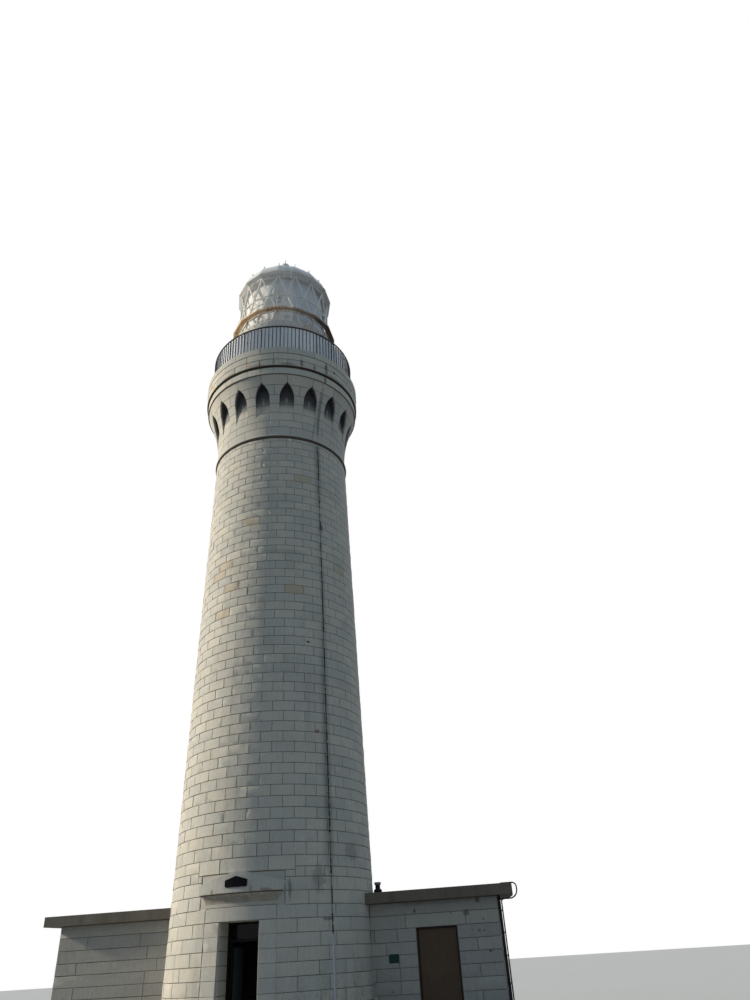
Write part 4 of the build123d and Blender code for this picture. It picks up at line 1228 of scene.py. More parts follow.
@dataclass
class ShaftStonework:
    """The courses of the tapering shaft, even above, uneven beside and over the entrance.

    The uneven courses list their joints in degrees, by the course's number from the top. The first
    of them passes over the hood and the three under it end beside the hood.
    """

    top_joint: float = 17.419
    course: float = 0.28556
    courses: int = 61
    stones_round: int = 27
    joint_azimuth: float = 8.3
    surround_half: float = 19.5
    hood_half: float = 23.6
    crown: float = 17.545
    over_hood: float = 3.635
    over_course: int = 47
    steps: tuple[float, float] = (-26.4, 28.9)
    least_width: float = 6.0
    low_levels: tuple[float, ...] = (
        3.975, 3.712, 3.475, 3.165, 2.855, 2.555, 2.248, 1.942, 1.642, 1.345, 1.035, 0.73, 0.425, 0.12, 0.0,
    )
    uneven: dict[int, tuple[float, ...]] = field(default_factory=lambda: {
        47: (-85.0, -66.0, -53.0, -39.5, -26.4, -12.2, 14.6, 28.9, 41.3, 54.7, 68.1, 84.1),
        48: (-87.0, -74.0, -60.0, -46.5, -33.2, 23.6, 34.2, 45.5, 61.2, 75.4, 90.0),
        49: (-81.0, -66.5, -53.0, -39.0, 23.6, 41.8, 53.5, 68.3, 83.5),
        50: (-88.0, -73.5, -60.0, -46.0, -33.0, 23.6, 36.2, 50.0, 63.2, 79.2, 93.0),
        51: (-81.0, -66.0, -50.5, -34.2, 19.5, 40.7, 52.0, 68.3, 84.0),
        52: (-88.0, -72.0, -56.5, -42.0, -27.6, 19.5, 29.8, 47.5, 62.6, 75.8, 90.0),
        53: (-80.0, -63.5, -49.0, -36.0, 19.5, 42.4, 52.0, 68.2, 82.0),
        54: (-88.0, -72.5, -57.0, -42.0, -28.0, 19.5, 30.1, 47.2, 63.3, 76.0, 90.0),
        55: (-80.0, -64.0, -49.5, -36.0, 19.5, 41.3, 57.5, 70.0, 82.4),
        56: (-87.5, -72.0, -57.5, -42.5, -28.5, 19.5, 30.1, 47.1, 63.0, 76.5, 91.0),
        57: (-80.5, -64.5, -50.0, -35.5, 19.5, 41.8, 57.0, 69.5, 82.0),
        58: (-88.0, -73.0, -57.0, -42.0, -28.0, 19.5, 30.5, 46.8, 63.4, 76.0, 90.5),
        59: (-80.0, -64.0, -49.5, -36.0, 19.5, 41.0, 57.6, 70.2, 82.5),
        60: (-88.0, -72.5, -57.5, -42.5, -28.3, 19.5, 30.0, 47.0, 63.0, 76.2, 90.0),
    })
    brown: tuple[tuple[float, float], ...] = (
        (-6.9, 14.08), (-23.2, 12.62), (-13.8, 11.83), (65.1, 12.72),
        (26.7, 11.58), (-22.6, 10.93), (-30.0, 12.35), (38.5, 15.95),
    )

    def level(self, k: int) -> float:
        """Returns the height of the joint over course k, where even courses give way to measured ones."""
        first = self.courses - len(self.low_levels) + 1
        return self.low_levels[k - first] if k >= first else self.top_joint - self.course * k

    def stones(self) -> list[Stone]:
        """Lists the stones of the shaft.

        Returns:
            Every stone, from the top course down.
        """
        step = 360.0 / self.stones_round
        half_round = (self.stones_round + 1) // 2
        found: list[Stone] = []
        for k in range(-1, self.courses):
            first = self.joint_azimuth + (step / 2 if k % 2 else 0.0)
            even = [first + step * j for j in range(-half_round, half_round)]
            found.extend(self._row(k, even, self.level(k + 1), self.crown if k < 0 else self.level(k)))
        return found

    def _row(self, k: int, even: list[float], z0: float, z1: float) -> list[Stone]:
        """Lays one course.

        Args:
            k: The course's number from the top.
            even: Evenly spaced joints all the way round.
            z0: Its bottom.
            z1: Its top.

        Returns:
            Its stones.
        """
        if k not in self.uneven:
            return [(a, b, z0, z1) for a, b in zip(even, even[1:])]
        front = self.uneven[k]
        start, end = front[-1] + self.least_width, 360.0 + front[0] - self.least_width
        behind = [a % 360.0 for a in even if start < a % 360.0 < end]
        cuts = list(front) + sorted(behind) + [front[0] + 360.0]
        left, right = self.steps
        under = k - self.over_course
        found: list[Stone] = []
        for a, b in zip(cuts, cuts[1:]):
            if under == 0 and left <= a < self.hood_half:
                found.append((a, b, self.over_hood, z1))
            elif under == 1 and a == self.hood_half:
                found.extend([(a, right, z0, self.over_hood), (right, b, z0, z1)])
            elif under == 1 and b == self.hood_half:
                found.extend([(a, left, z0, z1), (left, -self.hood_half, z0, self.over_hood)])
            elif under in (2, 3) and b == self.hood_half:
                found.append((a, -self.hood_half, z0, z1))
            elif under > 3 and b == self.surround_half:
                found.append((a, -self.surround_half, z0, z1))
            else:
                found.append((a, b, z0, z1))
        return found

    def build(self, finish: bpy.types.Material) -> None:
        """Lays the front and back of the shaft.

        Args:
            finish: The granite.
        """
        groups: dict[str, list[Stone]] = {"front": [], "back": []}
        for stone in self.stones():
            middle = (stone[0] + stone[1]) / 2 % 360
            groups["front" if middle < 90 or middle > 270 else "back"].append(stone)
        mason = Mason(seed=11)
        for side, stones in groups.items():
            piece = mason.lay(f"shaft_stones_{side}", SHAFT_WALL, stones, 5, 0.0035, self.brown)
            put(piece, finish)


@dataclass
class EntranceStonework:
    """The dressed stones of the jambs and the lintel, nearly flush with the shaft."""

    opening: float = 10.67
    half: float = 19.5
    jamb_half: float = 19.56
    levels: tuple[float, ...] = (2.555, 2.248, 1.942, 1.642, 1.345, 1.035, 0.73, 0.425, 0.12, 0.0)
    lintel: tuple[float, float] = (2.5625, 2.868)

    def build(self, finish: bpy.types.Material) -> None:
        """Lays the jambs and the lintel.

        Args:
            finish: The granite.
        """
        jambs: list[Stone] = []
        for z1, z0 in zip(self.levels, self.levels[1:]):
            jambs += [(-self.jamb_half, -self.opening, z0, z1), (self.opening, self.jamb_half, z0, z1)]
        mason = Mason(width=0.44, height=0.30, depth=0.012, bed=0.10, joint=0.003, arris=0.005, seed=61)
        put(mason.lay("entrance_jamb_stones", SHAFT_WALL, jambs, 2, 0.002), finish)
        mason = Mason(width=1.9, height=0.30, depth=0.012, bed=0.05, joint=0.004, arris=0.006, seed=63)
        lintel = [(-self.half, self.half, *self.lintel)]
        put(mason.lay("entrance_lintel_stone", SHAFT_WALL, lintel, 12, 0.002), finish)


@dataclass
class GalleryStonework:
    """The band over the capital and the two courses under the deck."""

    stones_round: int = 18
    rows: tuple[tuple[float, float, float, float], ...] = (
        (2.9246, 20.172, 20.458, 10.8),
        (2.9846, 20.530, 20.824, 0.7),
        (2.9900, 20.824, 21.120, 10.6),
    )

    def build(self, finish: bpy.types.Material) -> None:
        """Lays the rows.

        Args:
            finish: The granite.
        """
        step = 360.0 / self.stones_round
        for number, (radius, z0, z1, first) in enumerate(self.rows):
            stones = [(first + step * k, first + step * (k + 1), z0, z1) for k in range(self.stones_round)]
            mason = Mason(width=1.05, height=0.3, depth=0.012, arris=0.005, joint=0.006, seed=23 + number)
            piece = mason.lay(f"gallery_course_{number + 1}", RoundWall(radius), stones, 10, 0.002)
            put(piece, finish)


@dataclass
class AnnexStonework:
    """The annex's long stones, flat in front and round behind."""

    front_y: float = -0.35
    radius: float = 6.22
    levels: tuple[float, ...] = (0.0, 0.215, 0.505, 0.79, 1.08, 1.362, 1.65, 1.935, 2.238, 2.55, 2.845)
    joints: tuple[tuple[float, ...], ...] = (
        (3.45, 5.62), (3.52,), (2.95, 5.60), (3.54,), (2.91, 3.54, 5.60),
        (3.53,), (3.20, 5.60), (2.90, 3.52), (3.76, 5.35), (),
    )
    door: tuple[float, float, float] = (4.02, 5.105, 2.238)
    tower_reach: float = 2.80
    rear_pitch: float = 9.0

    def wing(self, row: int, side: int) -> list[Stone]:
        """Returns one course of one wing.

        Args:
            row: The course's number from the ground.
            side: 1 for the wing with the door, -1 for the other.

        Returns:
            Its stones.
        """
        z0, z1 = self.levels[row], self.levels[row + 1]
        left, right, top = self.door
        cuts = [self.tower_reach, *self.joints[row], self.radius]
        spans = list(zip(cuts, cuts[1:]))
        if side > 0 and z1 <= top:
            cut: list[tuple[float, float]] = []
            for a, b in spans:
                cut += [(a, min(b, left))] if a < left else []
                cut += [(max(a, right), b)] if b > right else []
            spans = cut
        return [(min(side * a, side * b), max(side * a, side * b), z0, z1) for a, b in spans]

    def build(self, finish: bpy.types.Material) -> None:
        """Lays the front and the rear.

        Args:
            finish: The granite.
        """
        front: list[Stone] = []
        rear: list[Stone] = []
        spaces = round(180.0 / self.rear_pitch)
        for row, (z0, z1) in enumerate(zip(self.levels, self.levels[1:])):
            front += self.wing(row, 1) + self.wing(row, -1)
            shift = self.rear_pitch / 2 if row % 2 else 0.0
            cuts = [90.0 + shift + self.rear_pitch * k for k in range(spaces)]
            edges = [90.0, *(a for a in cuts if a > 90.0), 270.0]
            rear.extend((a, b, z0, z1) for a, b in zip(edges, edges[1:]))
        mason = Mason(width=1.0, height=0.29, depth=0.012, arris=0.005, seed=41)
        put(mason.lay("annex_front_stones", FlatWall(self.front_y), front, 6, 0.0022), finish)
        wall = RoundWall(self.radius, 0.0, self.front_y)
        put(mason.lay("annex_rear_stones", wall, rear, 5, 0.0022), finish)


# Fittings


@dataclass
class GalleryFittings:
    """Ties on the balusters, cover strips on the service room and bolts on its sill."""

    rail_radius: float = 2.8113
    balusters: int = 120
    tie_level: float = 22.06
    tie_sway: float = 0.03
    tie_size: tuple[float, float, float] = (0.030, 0.034, 0.045)
    deck: float = 21.409
    drum_radius: float = 2.235
    drum_top: float = 23.319
    strips: int = 28
    strip_section: tuple[float, float] = (0.060, 0.014)
    strip_out: float = 0.004
    strip_gap: float = 0.02
    screw: tuple[float, float] = (0.008, 0.009)
    screw_out: float = 0.010
    screw_levels: tuple[float, ...] = (0.25, 0.72, 1.19, 1.66)
    sill_radius: float = 2.275
    sill_bolt: tuple[float, float] = (0.016, 0.020)
    bolts: int = 48
    bolt_level: float = 0.16
    bolt_azimuth: float = 2.0
    edge: float = 0.004

    def build(self, rail: bpy.types.Material, white: bpy.types.Material, rust: bpy.types.Material) -> None:
        """Builds the fittings.

        Args:
            rail: The railing's paint.
            white: The room's paint.
            rust: The finish of old bolts.
        """
        pitch = 360.0 / self.balusters
        ties = [
            around(pitch * k, self.rail_radius, self.tie_level + self.tie_sway * math.sin(k * 1.7))
            for k in range(self.balusters) if k % 5 in (1, 3)
        ]
        put(block(self.tie_size, self.edge).copies("baluster_ties", ties), rail)
        height = self.drum_top - self.deck
        strip = block((*self.strip_section, height - self.strip_gap), self.edge)
        places = ring(self.strips, self.drum_radius + self.strip_out, self.deck + height / 2)
        put(strip.copies("room_cover_strips", places), white)
        places = ring(self.bolts, self.sill_radius, self.drum_top + self.bolt_level, self.bolt_azimuth)
        put(bolt(*self.sill_bolt).copies("sill_bolts", places), rust)
        pitch = 360.0 / self.strips
        screws = [
            around(pitch * k, self.drum_radius + self.screw_out, self.deck + level)
            for k in range(self.strips) for level in self.screw_levels
        ]
        put(bolt(*self.screw).copies("strip_screws", screws), rust)


@dataclass
class CatwalkFittings:
    """The grating under the catwalk and the bolts of the lattice nodes."""

    inner: float = 1.985
    outer: float = 2.135
    underside: float = 24.513
    depth: float = 0.034
    bars: int = 256
    bar_width: float = 0.007
    bar_edge: float = 0.0015
    nodes: int = 16
    node_radius: float = 1.9
    bolt: tuple[float, float] = (0.009, 0.012)
    bolt_out: float = 0.03
    bolt_spread: tuple[float, float] = (0.026, 0.016)
    levels: tuple[tuple[float, float], ...] = ((23.619, -2.0), (24.549, 9.25), (25.529, -2.0), (26.679, 9.25))

    def build(self, rust: bpy.types.Material, white: bpy.types.Material) -> None:
        """Builds the grating and the bolts.

        Args:
            rust: The catwalk's finish.
            white: The lattice's paint.
        """
        middle = (self.outer + self.inner) / 2
        bar = block((self.bar_width, self.outer - self.inner, self.depth), self.bar_edge)
        places = ring(self.bars, middle, self.underside - self.depth / 2, 180.0 / self.bars)
        put(bar.copies("catwalk_grating", places), rust)
        side, rise = self.bolt_spread
        places = [
            around(360.0 / self.nodes * k + turn, self.node_radius + self.bolt_out, z + up)
            @ Matrix.Translation((across, 0, 0))
            for z, turn in self.levels for k in range(self.nodes)
            for up in (-rise, rise) for across in (-side, side)
        ]
        put(bolt(*self.bolt).copies("lattice_bolts", places), white)


@dataclass
class Curtain:
    """The round curtain that hangs from the eave inside the glass."""

    radius: float = 1.672
    bottom: float = 23.649
    top: float = 26.706
    panels: int = 16
    around_count: int = 320
    rows: int = 18
    thickness: float = 0.003
    fullness: float = 1.01
    waves: int = 37
    wave: float = 0.008
    slack: float = 0.006

    def build(self, cloth: bpy.types.Material) -> None:
        """Hangs the curtain.

        Args:
            cloth: Its material.
        """
        deselect()
        depth = self.top - self.bottom
        middle = (self.top + self.bottom) / 2
        bpy.ops.mesh.primitive_cylinder_add(
            vertices=self.around_count, radius=self.radius, depth=depth,
            location=(0, 0, middle), end_fill_type="NOTHING",
        )
        piece = bpy.context.object
        piece.name = "hanging_curtain"
        bpy.ops.object.transform_apply(location=True, rotation=False, scale=False)
        bpy.ops.object.mode_set(mode="EDIT")
        for k in range(1, self.rows):
            bisect((0, 0, self.bottom + depth * k / self.rows), (0, 0, 1))
        bpy.ops.object.mode_set(mode="OBJECT")
        self._fold(piece.data)
        thick = piece.modifiers.new("cloth", "SOLIDIFY")
        thick.thickness = self.thickness
        thick.offset = 0.0
        activate(piece)
        bpy.ops.object.modifier_apply(modifier=thick.name)
        softened(piece, 60.0)
        put(piece, cloth)
        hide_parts("lantern_curtain")
        length = 2 * math.pi * self.radius * self.fullness

    def _fold(self, mesh: bpy.types.Mesh) -> None:
        """Gives the cloth shallow folds that open towards the hem.

        Args:
            mesh: The curtain's mesh.
        """
        points = np.zeros(len(mesh.vertices) * 3)
        mesh.vertices.foreach_get("co", points)
        points = points.reshape(-1, 3)
        angle = np.arctan2(points[:, 0], -points[:, 1])
        drop = (self.top - points[:, 2]) / (self.top - self.bottom)
        seam = np.abs(np.mod(angle * self.panels / (2 * math.pi), 1.0) - 0.5) * 2
        wave = self.wave * np.sin(angle * self.waves + 1.3 * np.sin(angle * 3)) * (0.25 + 0.75 * drop)
        slack = self.slack * np.sin(drop * 9.0 + angle * 5.0) * np.sin(drop * math.pi)
        radius = self.radius + wave + slack - self.slack * seam ** 6
        folded = np.stack([radius * np.sin(angle), -radius * np.cos(angle), points[:, 2]], axis=1)
        mesh.vertices.foreach_set("co", folded.ravel())
        mesh.update()


@dataclass
class Conductor:
    """The tape of the lightning conductor, its clips and the sleeve that guards its foot."""

    azimuth: float = 49.45
    tape: tuple[float, float] = (0.018, 0.010)
    tape_out: float = 0.021
    tape_top: float = 17.44
    sleeve: tuple[float, float] = (0.058, 0.034)
    sleeve_out: float = 0.027
    sleeve_foot: float = 0.03
    sleeve_top: float = 2.19
    clip: tuple[float, float, float] = (0.060, 0.020, 0.026)
    clip_out: float = 0.020
    clip_edge: float = 0.004
    first: float = 2.6
    last: float = 17.2
    count: int = 16

    def _place(self, out: float, z: float, lean: float = 0.0) -> Matrix:
        """Returns a place on the shaft at the conductor, a distance out of its face."""
        return around(self.azimuth, SHAFT_RADIUS - SHAFT_TAPER * z + out, z, lean)

    def _run(
        self, name: str, section: tuple[float, float], out: float, foot: float, top: float
    ) -> bpy.types.Object:
        """Makes a straight strip that follows the taper of the shaft.

        Args:
            name: The piece's name.
            section: Its width and thickness.
            out: How far its middle stands out from the shaft.
            foot: Its lower end.
            top: Its upper end.

        Returns:
            The strip.
        """
        strip = block((*section, top - foot), min(section) * 0.3, 2)
        lean = math.degrees(math.atan(SHAFT_TAPER))
        return strip.copies(name, [self._place(out, (foot + top) / 2, lean)])

    def build(self, metal: bpy.types.Material, grey: bpy.types.Material) -> None:
        """Builds the tape, the sleeve and the clips.

        Args:
            metal: The tape's finish.
            grey: The sleeve's finish.
        """
        foot, top = self.sleeve_foot, self.sleeve_top
        put(self._run("conductor_tape", self.tape, self.tape_out, top, self.tape_top), metal)
        put(self._run("conductor_sleeve", self.sleeve, self.sleeve_out, foot, top), grey)
        step = (self.last - self.first) / (self.count - 1)
        places = [self._place(self.clip_out, self.first + step * k) for k in range(self.count)]
        put(block(self.clip, self.clip_edge).copies("conductor_clips", places), metal)


@dataclass
class Plates:
    """The bare plaque on the hood and the bare sign on the annex."""

    hood_radius: float = 2.93
    plaque: tuple[float, float, float, float] = (-0.345, 0.245, 3.295, 3.545)
    shoulder: float = 3.455
    thickness: float = 0.018
    corner: float = 0.03
    rim: float = 0.018
    sunk: float = 0.005
    bedded: float = 0.002
    sign: tuple[float, float, float, float] = (3.262, 3.528, 1.478, 1.676)
    sign_thickness: float = 0.010
    sign_edge: float = 0.003
    screw: tuple[float, float] = (0.005, 0.005)
    screw_inset: float = 0.02
    wall_y: float = -0.362

    def build(self, bronze: bpy.types.Material, green: bpy.types.Material, grey: bpy.types.Material) -> None:
        """Builds both plates.

        Args:
            bronze: The plaque's finish.
            green: The sign's finish.
            grey: The finish of the screws.
        """
        put(self._plaque(), bronze)
        x0, x1, z0, z1 = self.sign
        thick, inset = self.sign_thickness, self.screw_inset
        plate = block((x1 - x0, thick, z1 - z0), self.sign_edge, 2)
        place = Matrix.Translation(((x0 + x1) / 2, self.wall_y - thick / 2, (z0 + z1) / 2))
        put(plate.copies("annex_sign_plate", [place]), green)
        places = [
            Matrix.Translation((x, self.wall_y - thick, z))
            for x in (x0 + inset, x1 - inset) for z in (z0 + inset, z1 - inset)
        ]
        put(bolt(*self.screw).copies("annex_sign_screws", places), grey)

    def _plaque(self) -> bpy.types.Object:
        """Models the gabled plaque and bends it to the hood.

        Returns:
            The plaque.
        """
        x0, x1, z0, z1 = self.plaque
        middle = (x0 + x1) / 2
        deselect()
        bpy.ops.mesh.primitive_grid_add(
            x_subdivisions=18, y_subdivisions=8, size=1.0, rotation=(math.radians(90), 0, 0)
        )
        piece = bpy.context.object
        piece.name = "hood_plaque"
        piece.scale = (x1 - x0, z1 - z0, 1.0)
        piece.location = (middle, 0, (z0 + z1) / 2)
        bpy.ops.object.transform_apply(location=True, rotation=True, scale=True)
        bpy.ops.object.mode_set(mode="EDIT")
        rise = z1 - self.shoulder
        half = (x1 - x0) / 2
        bisect((middle, 0, z1), (rise, 0, half), clear=True)
        bisect((middle, 0, z1), (-rise, 0, half), clear=True)
        for side, x in ((-1, x0), (1, x1)):
            bisect((x - side * self.corner, 0, z0), (side, 0, -1), clear=True)
        bpy.ops.mesh.select_all(action="SELECT")
        bpy.ops.mesh.normals_make_consistent(inside=False)
        bpy.ops.mesh.extrude_region_move(TRANSFORM_OT_translate={"value": (0, -self.thickness, 0)})
        bpy.ops.mesh.inset(thickness=self.rim, depth=0.0)
        bpy.ops.transform.translate(value=(0, self.sunk, 0))
        bpy.ops.mesh.select_all(action="SELECT")
        bpy.ops.mesh.normals_make_consistent(inside=False)
        bpy.ops.object.mode_set(mode="OBJECT")
        for vertex in piece.data.vertices:
            x, y, z = vertex.co
            angle = x / self.hood_radius
            radius = self.hood_radius - y - self.bedded
            vertex.co = (radius * math.sin(angle), -radius * math.cos(angle), z)
        softened(piece)
        return piece


@dataclass
class AnnexFittings:
    """The collars that hold the downpipe."""

    pipe: tuple[float, float] = (6.27, -0.29)
    levels: tuple[float, ...] = (0.9, 2.0, 2.78)
    radius: float = 0.046
    height: float = 0.05
    edge: float = 0.004

    def build(self, dark: bpy.types.Material) -> None:
        """Builds the pipe's collars.

        Args:
            dark: The pipe's paint.
        """
        deselect()
        bpy.ops.mesh.primitive_cylinder_add(vertices=24, radius=self.radius, depth=self.height)
        collar = eased(self.edge)
        places = [Matrix.Translation((*self.pipe, z)) for z in self.levels]
        put(collar.copies("downpipe_collars", places), dark)


# Joints, stains and zones at their places


BELL_JOINTS = RowJoints(
    (
        (17.70, 18.06, 4.6, 20.0), (18.06, 18.35, 15.2, 20.0), (18.35, 18.69, 7.2, 20.0),
        (18.69, 19.05, 0.0, 720.0), (19.05, 19.40, 0.0, 720.0),
        (19.40, 19.78, 11.2, 20.0), (19.78, 20.164, 1.2, 20.0),
    ),
    2.65,
)
SURROUND_JOINTS = RowJoints(
    tuple((0.12 + 0.305 * k, 0.425 + 0.305 * k, 100.0, 360.0) for k in range(8)), 2.75
)
DECK_JOINTS = EvenJoints(21.124, 0.6, 20.0, 0.9, 3.0)
BELL_MARKS = (
    Mark(7.8, 18.40, 0.030, 0.32, PALE_LIME, 0.9), Mark(-31.5, 18.30, 0.02, 0.14, PALE_LIME, 0.4),
    Mark(50.0, 18.9, 0.09, 1.25, MOSS, 0.6), Mark(46.0, 18.2, 0.05, 0.4, SOOT, 0.35),
)
SHAFT_MARKS = (
    Mark(24.4, 17.49, 0.045, 0.09, (0.90, 0.92, 0.92), 1.0), Mark(50.3, 14.06, 0.10, 0.22, SOOT, 0.75),
    Mark(37.8, 9.84, 0.075, 0.035, SOOT, 0.95), Mark(43.0, 7.17, 0.10, 0.06, RUST, 0.7),
    Mark(-4.5, 11.54, 0.018, 0.15, SOOT, 0.8), Mark(-3.9, 11.77, 0.015, 0.05, SOOT, 0.7),
    Mark(66.8, 11.70, 0.035, 0.035, SOOT, 0.9), Mark(65.2, 12.85, 0.03, 0.03, SOOT, 0.9),
    Mark(76.9, 13.27, 0.03, 0.03, SOOT, 0.9), Mark(42.0, 3.42, 0.20, 0.35, DAMP, 0.5),
    Mark(26.0, 3.20, 0.05, 0.30, SOOT, 0.5), Mark(66.0, 4.1, 0.30, 0.25, DAMP, 0.4),
    Mark(46.5, 2.52, 0.16, 0.05, SOOT, 0.6), Mark(20.6, 12.9, 0.9, 0.12, (0.30, 0.29, 0.26), 0.35),
)
DECK_MARKS = (Mark(0.9, 21.26, 0.02, 0.16, SOOT, 0.8),)
COURSE_MARKS = (
    Mark(0.8, 20.62, 0.035, 0.22, RUST, 0.8), Mark(10.9, 20.70, 0.05, 0.18, (0.17, 0.12, 0.07), 0.55),
    Mark(-9.2, 20.74, 0.05, 0.20, LICHEN, 0.75), Mark(-19.4, 20.66, 0.05, 0.15, (0.30, 0.16, 0.06), 0.7),
    Mark(-31.0, 20.90, 0.10, 0.10, LICHEN, 0.5), Mark(-44.6, 20.66, 0.12, 0.07, LICHEN, 0.9),
    Mark(-49.0, 20.90, 0.10, 0.07, LICHEN, 0.7), Mark(16.7, 20.99, 0.035, 0.025, SOOT, 0.95),
    Mark(21.0, 20.60, 0.30, 0.07, (0.14, 0.10, 0.06), 0.55), Mark(31.0, 20.72, 0.07, 0.22, BROWN_RUN, 0.7),
    Mark(41.0, 20.66, 0.05, 0.14, BROWN_RUN, 0.6), Mark(50.8, 20.82, 0.08, 0.34, MOSS, 0.7),
    Mark(-2.0, 20.58, 0.35, 0.06, (0.16, 0.11, 0.06), 0.5),
    Mark(-25.0, 20.56, 0.45, 0.05, (0.16, 0.10, 0.05), 0.6),
    Mark(60.0, 20.58, 0.6, 0.06, (0.14, 0.11, 0.08), 0.5),
    Mark(1.2, 20.34, 0.03, 0.14, (0.22, 0.16, 0.09), 0.6),
    Mark(-22.0, 20.19, 0.16, 0.04, LICHEN, 0.8), Mark(-27.0, 20.22, 0.08, 0.05, LICHEN, 0.6),
    Mark(50.8, 20.3, 0.07, 0.2, MOSS, 0.6), *DECK_MARKS,
)
ANNEX_MARKS = (
    Mark(4.02, 2.62, 0.035, 0.055, SOOT, 0.85), Mark(4.97, 2.53, 0.025, 0.03, SOOT, 0.7),
    Mark(5.38, 2.50, 0.10, 0.075, (0.17, 0.13, 0.10), 0.8), Mark(5.71, 2.79, 0.08, 0.10, SOOT, 0.7),
    Mark(5.81, 2.34, 0.022, 0.035, SOOT, 0.7), Mark(5.49, 2.11, 0.03, 0.03, (0.20, 0.14, 0.10), 0.7),
    Mark(5.68, 2.08, 0.04, 0.035, (0.22, 0.14, 0.09), 0.8),
    Mark(5.80, 2.07, 0.04, 0.035, (0.20, 0.13, 0.09), 0.8),
    Mark(5.90, 1.62, 0.035, 0.03, SOOT, 0.9), Mark(4.6, 2.83, 1.4, 0.10, (0.16, 0.15, 0.13), 0.4),
    Mark(3.3, 0.86, 0.03, 0.03, SOOT, 0.6),
)
COVE_MARKS = (
    *(Mark(along, 3.003, 0.34, 0.20, (0.26, 0.20, 0.135), 0.55) for along in (-19.0, -10.0, -1.0, 8.0, 17.0)),
    Mark(-14.0, 3.213, 0.05, 0.10, (0.20, 0.14, 0.08), 0.6), Mark(6.5, 3.233, 0.04, 0.12, SOOT, 0.4),
    Mark(13.5, 3.203, 0.16, 0.05, (0.22, 0.15, 0.09), 0.6),
)
LATTICE_RUST = ((24.50, 0.10), (23.60, 0.10), (26.70, 0.06))
# Painted light and shade: the eave, sill and catwalk paints run from light on the lit side to dark on the
# shaded side, each zone with its own amount of rust.
EAVE_ZONES = (
    (-180.0, (0.88, 0.86, 0.82), 0.08), (14.0, (0.74, 0.74, 0.71), 0.34), (70.0, (0.60, 0.57, 0.52), 0.55),
)
SILL_ZONES = (
    (-180.0, (0.80, 0.73, 0.62), 0.42), (-14.0, (0.62, 0.61, 0.58), 0.16),
    (38.0, (0.50, 0.46, 0.42), 0.40), (62.0, (0.36, 0.31, 0.27), 0.50),
)
CATWALK_ZONES = (
    (-180.0, (0.95, 0.74, 0.52), 0.44), (-8.0, (0.86, 0.70, 0.54), 0.70),
    (26.0, (0.62, 0.53, 0.46), 0.55), (58.0, (0.30, 0.25, 0.22), 0.45),
)
NEAR_BLACK = (0.014, 0.013, 0.015)
WHITE = (0.85, 0.85, 0.83)


# Finishing of the construction nodes


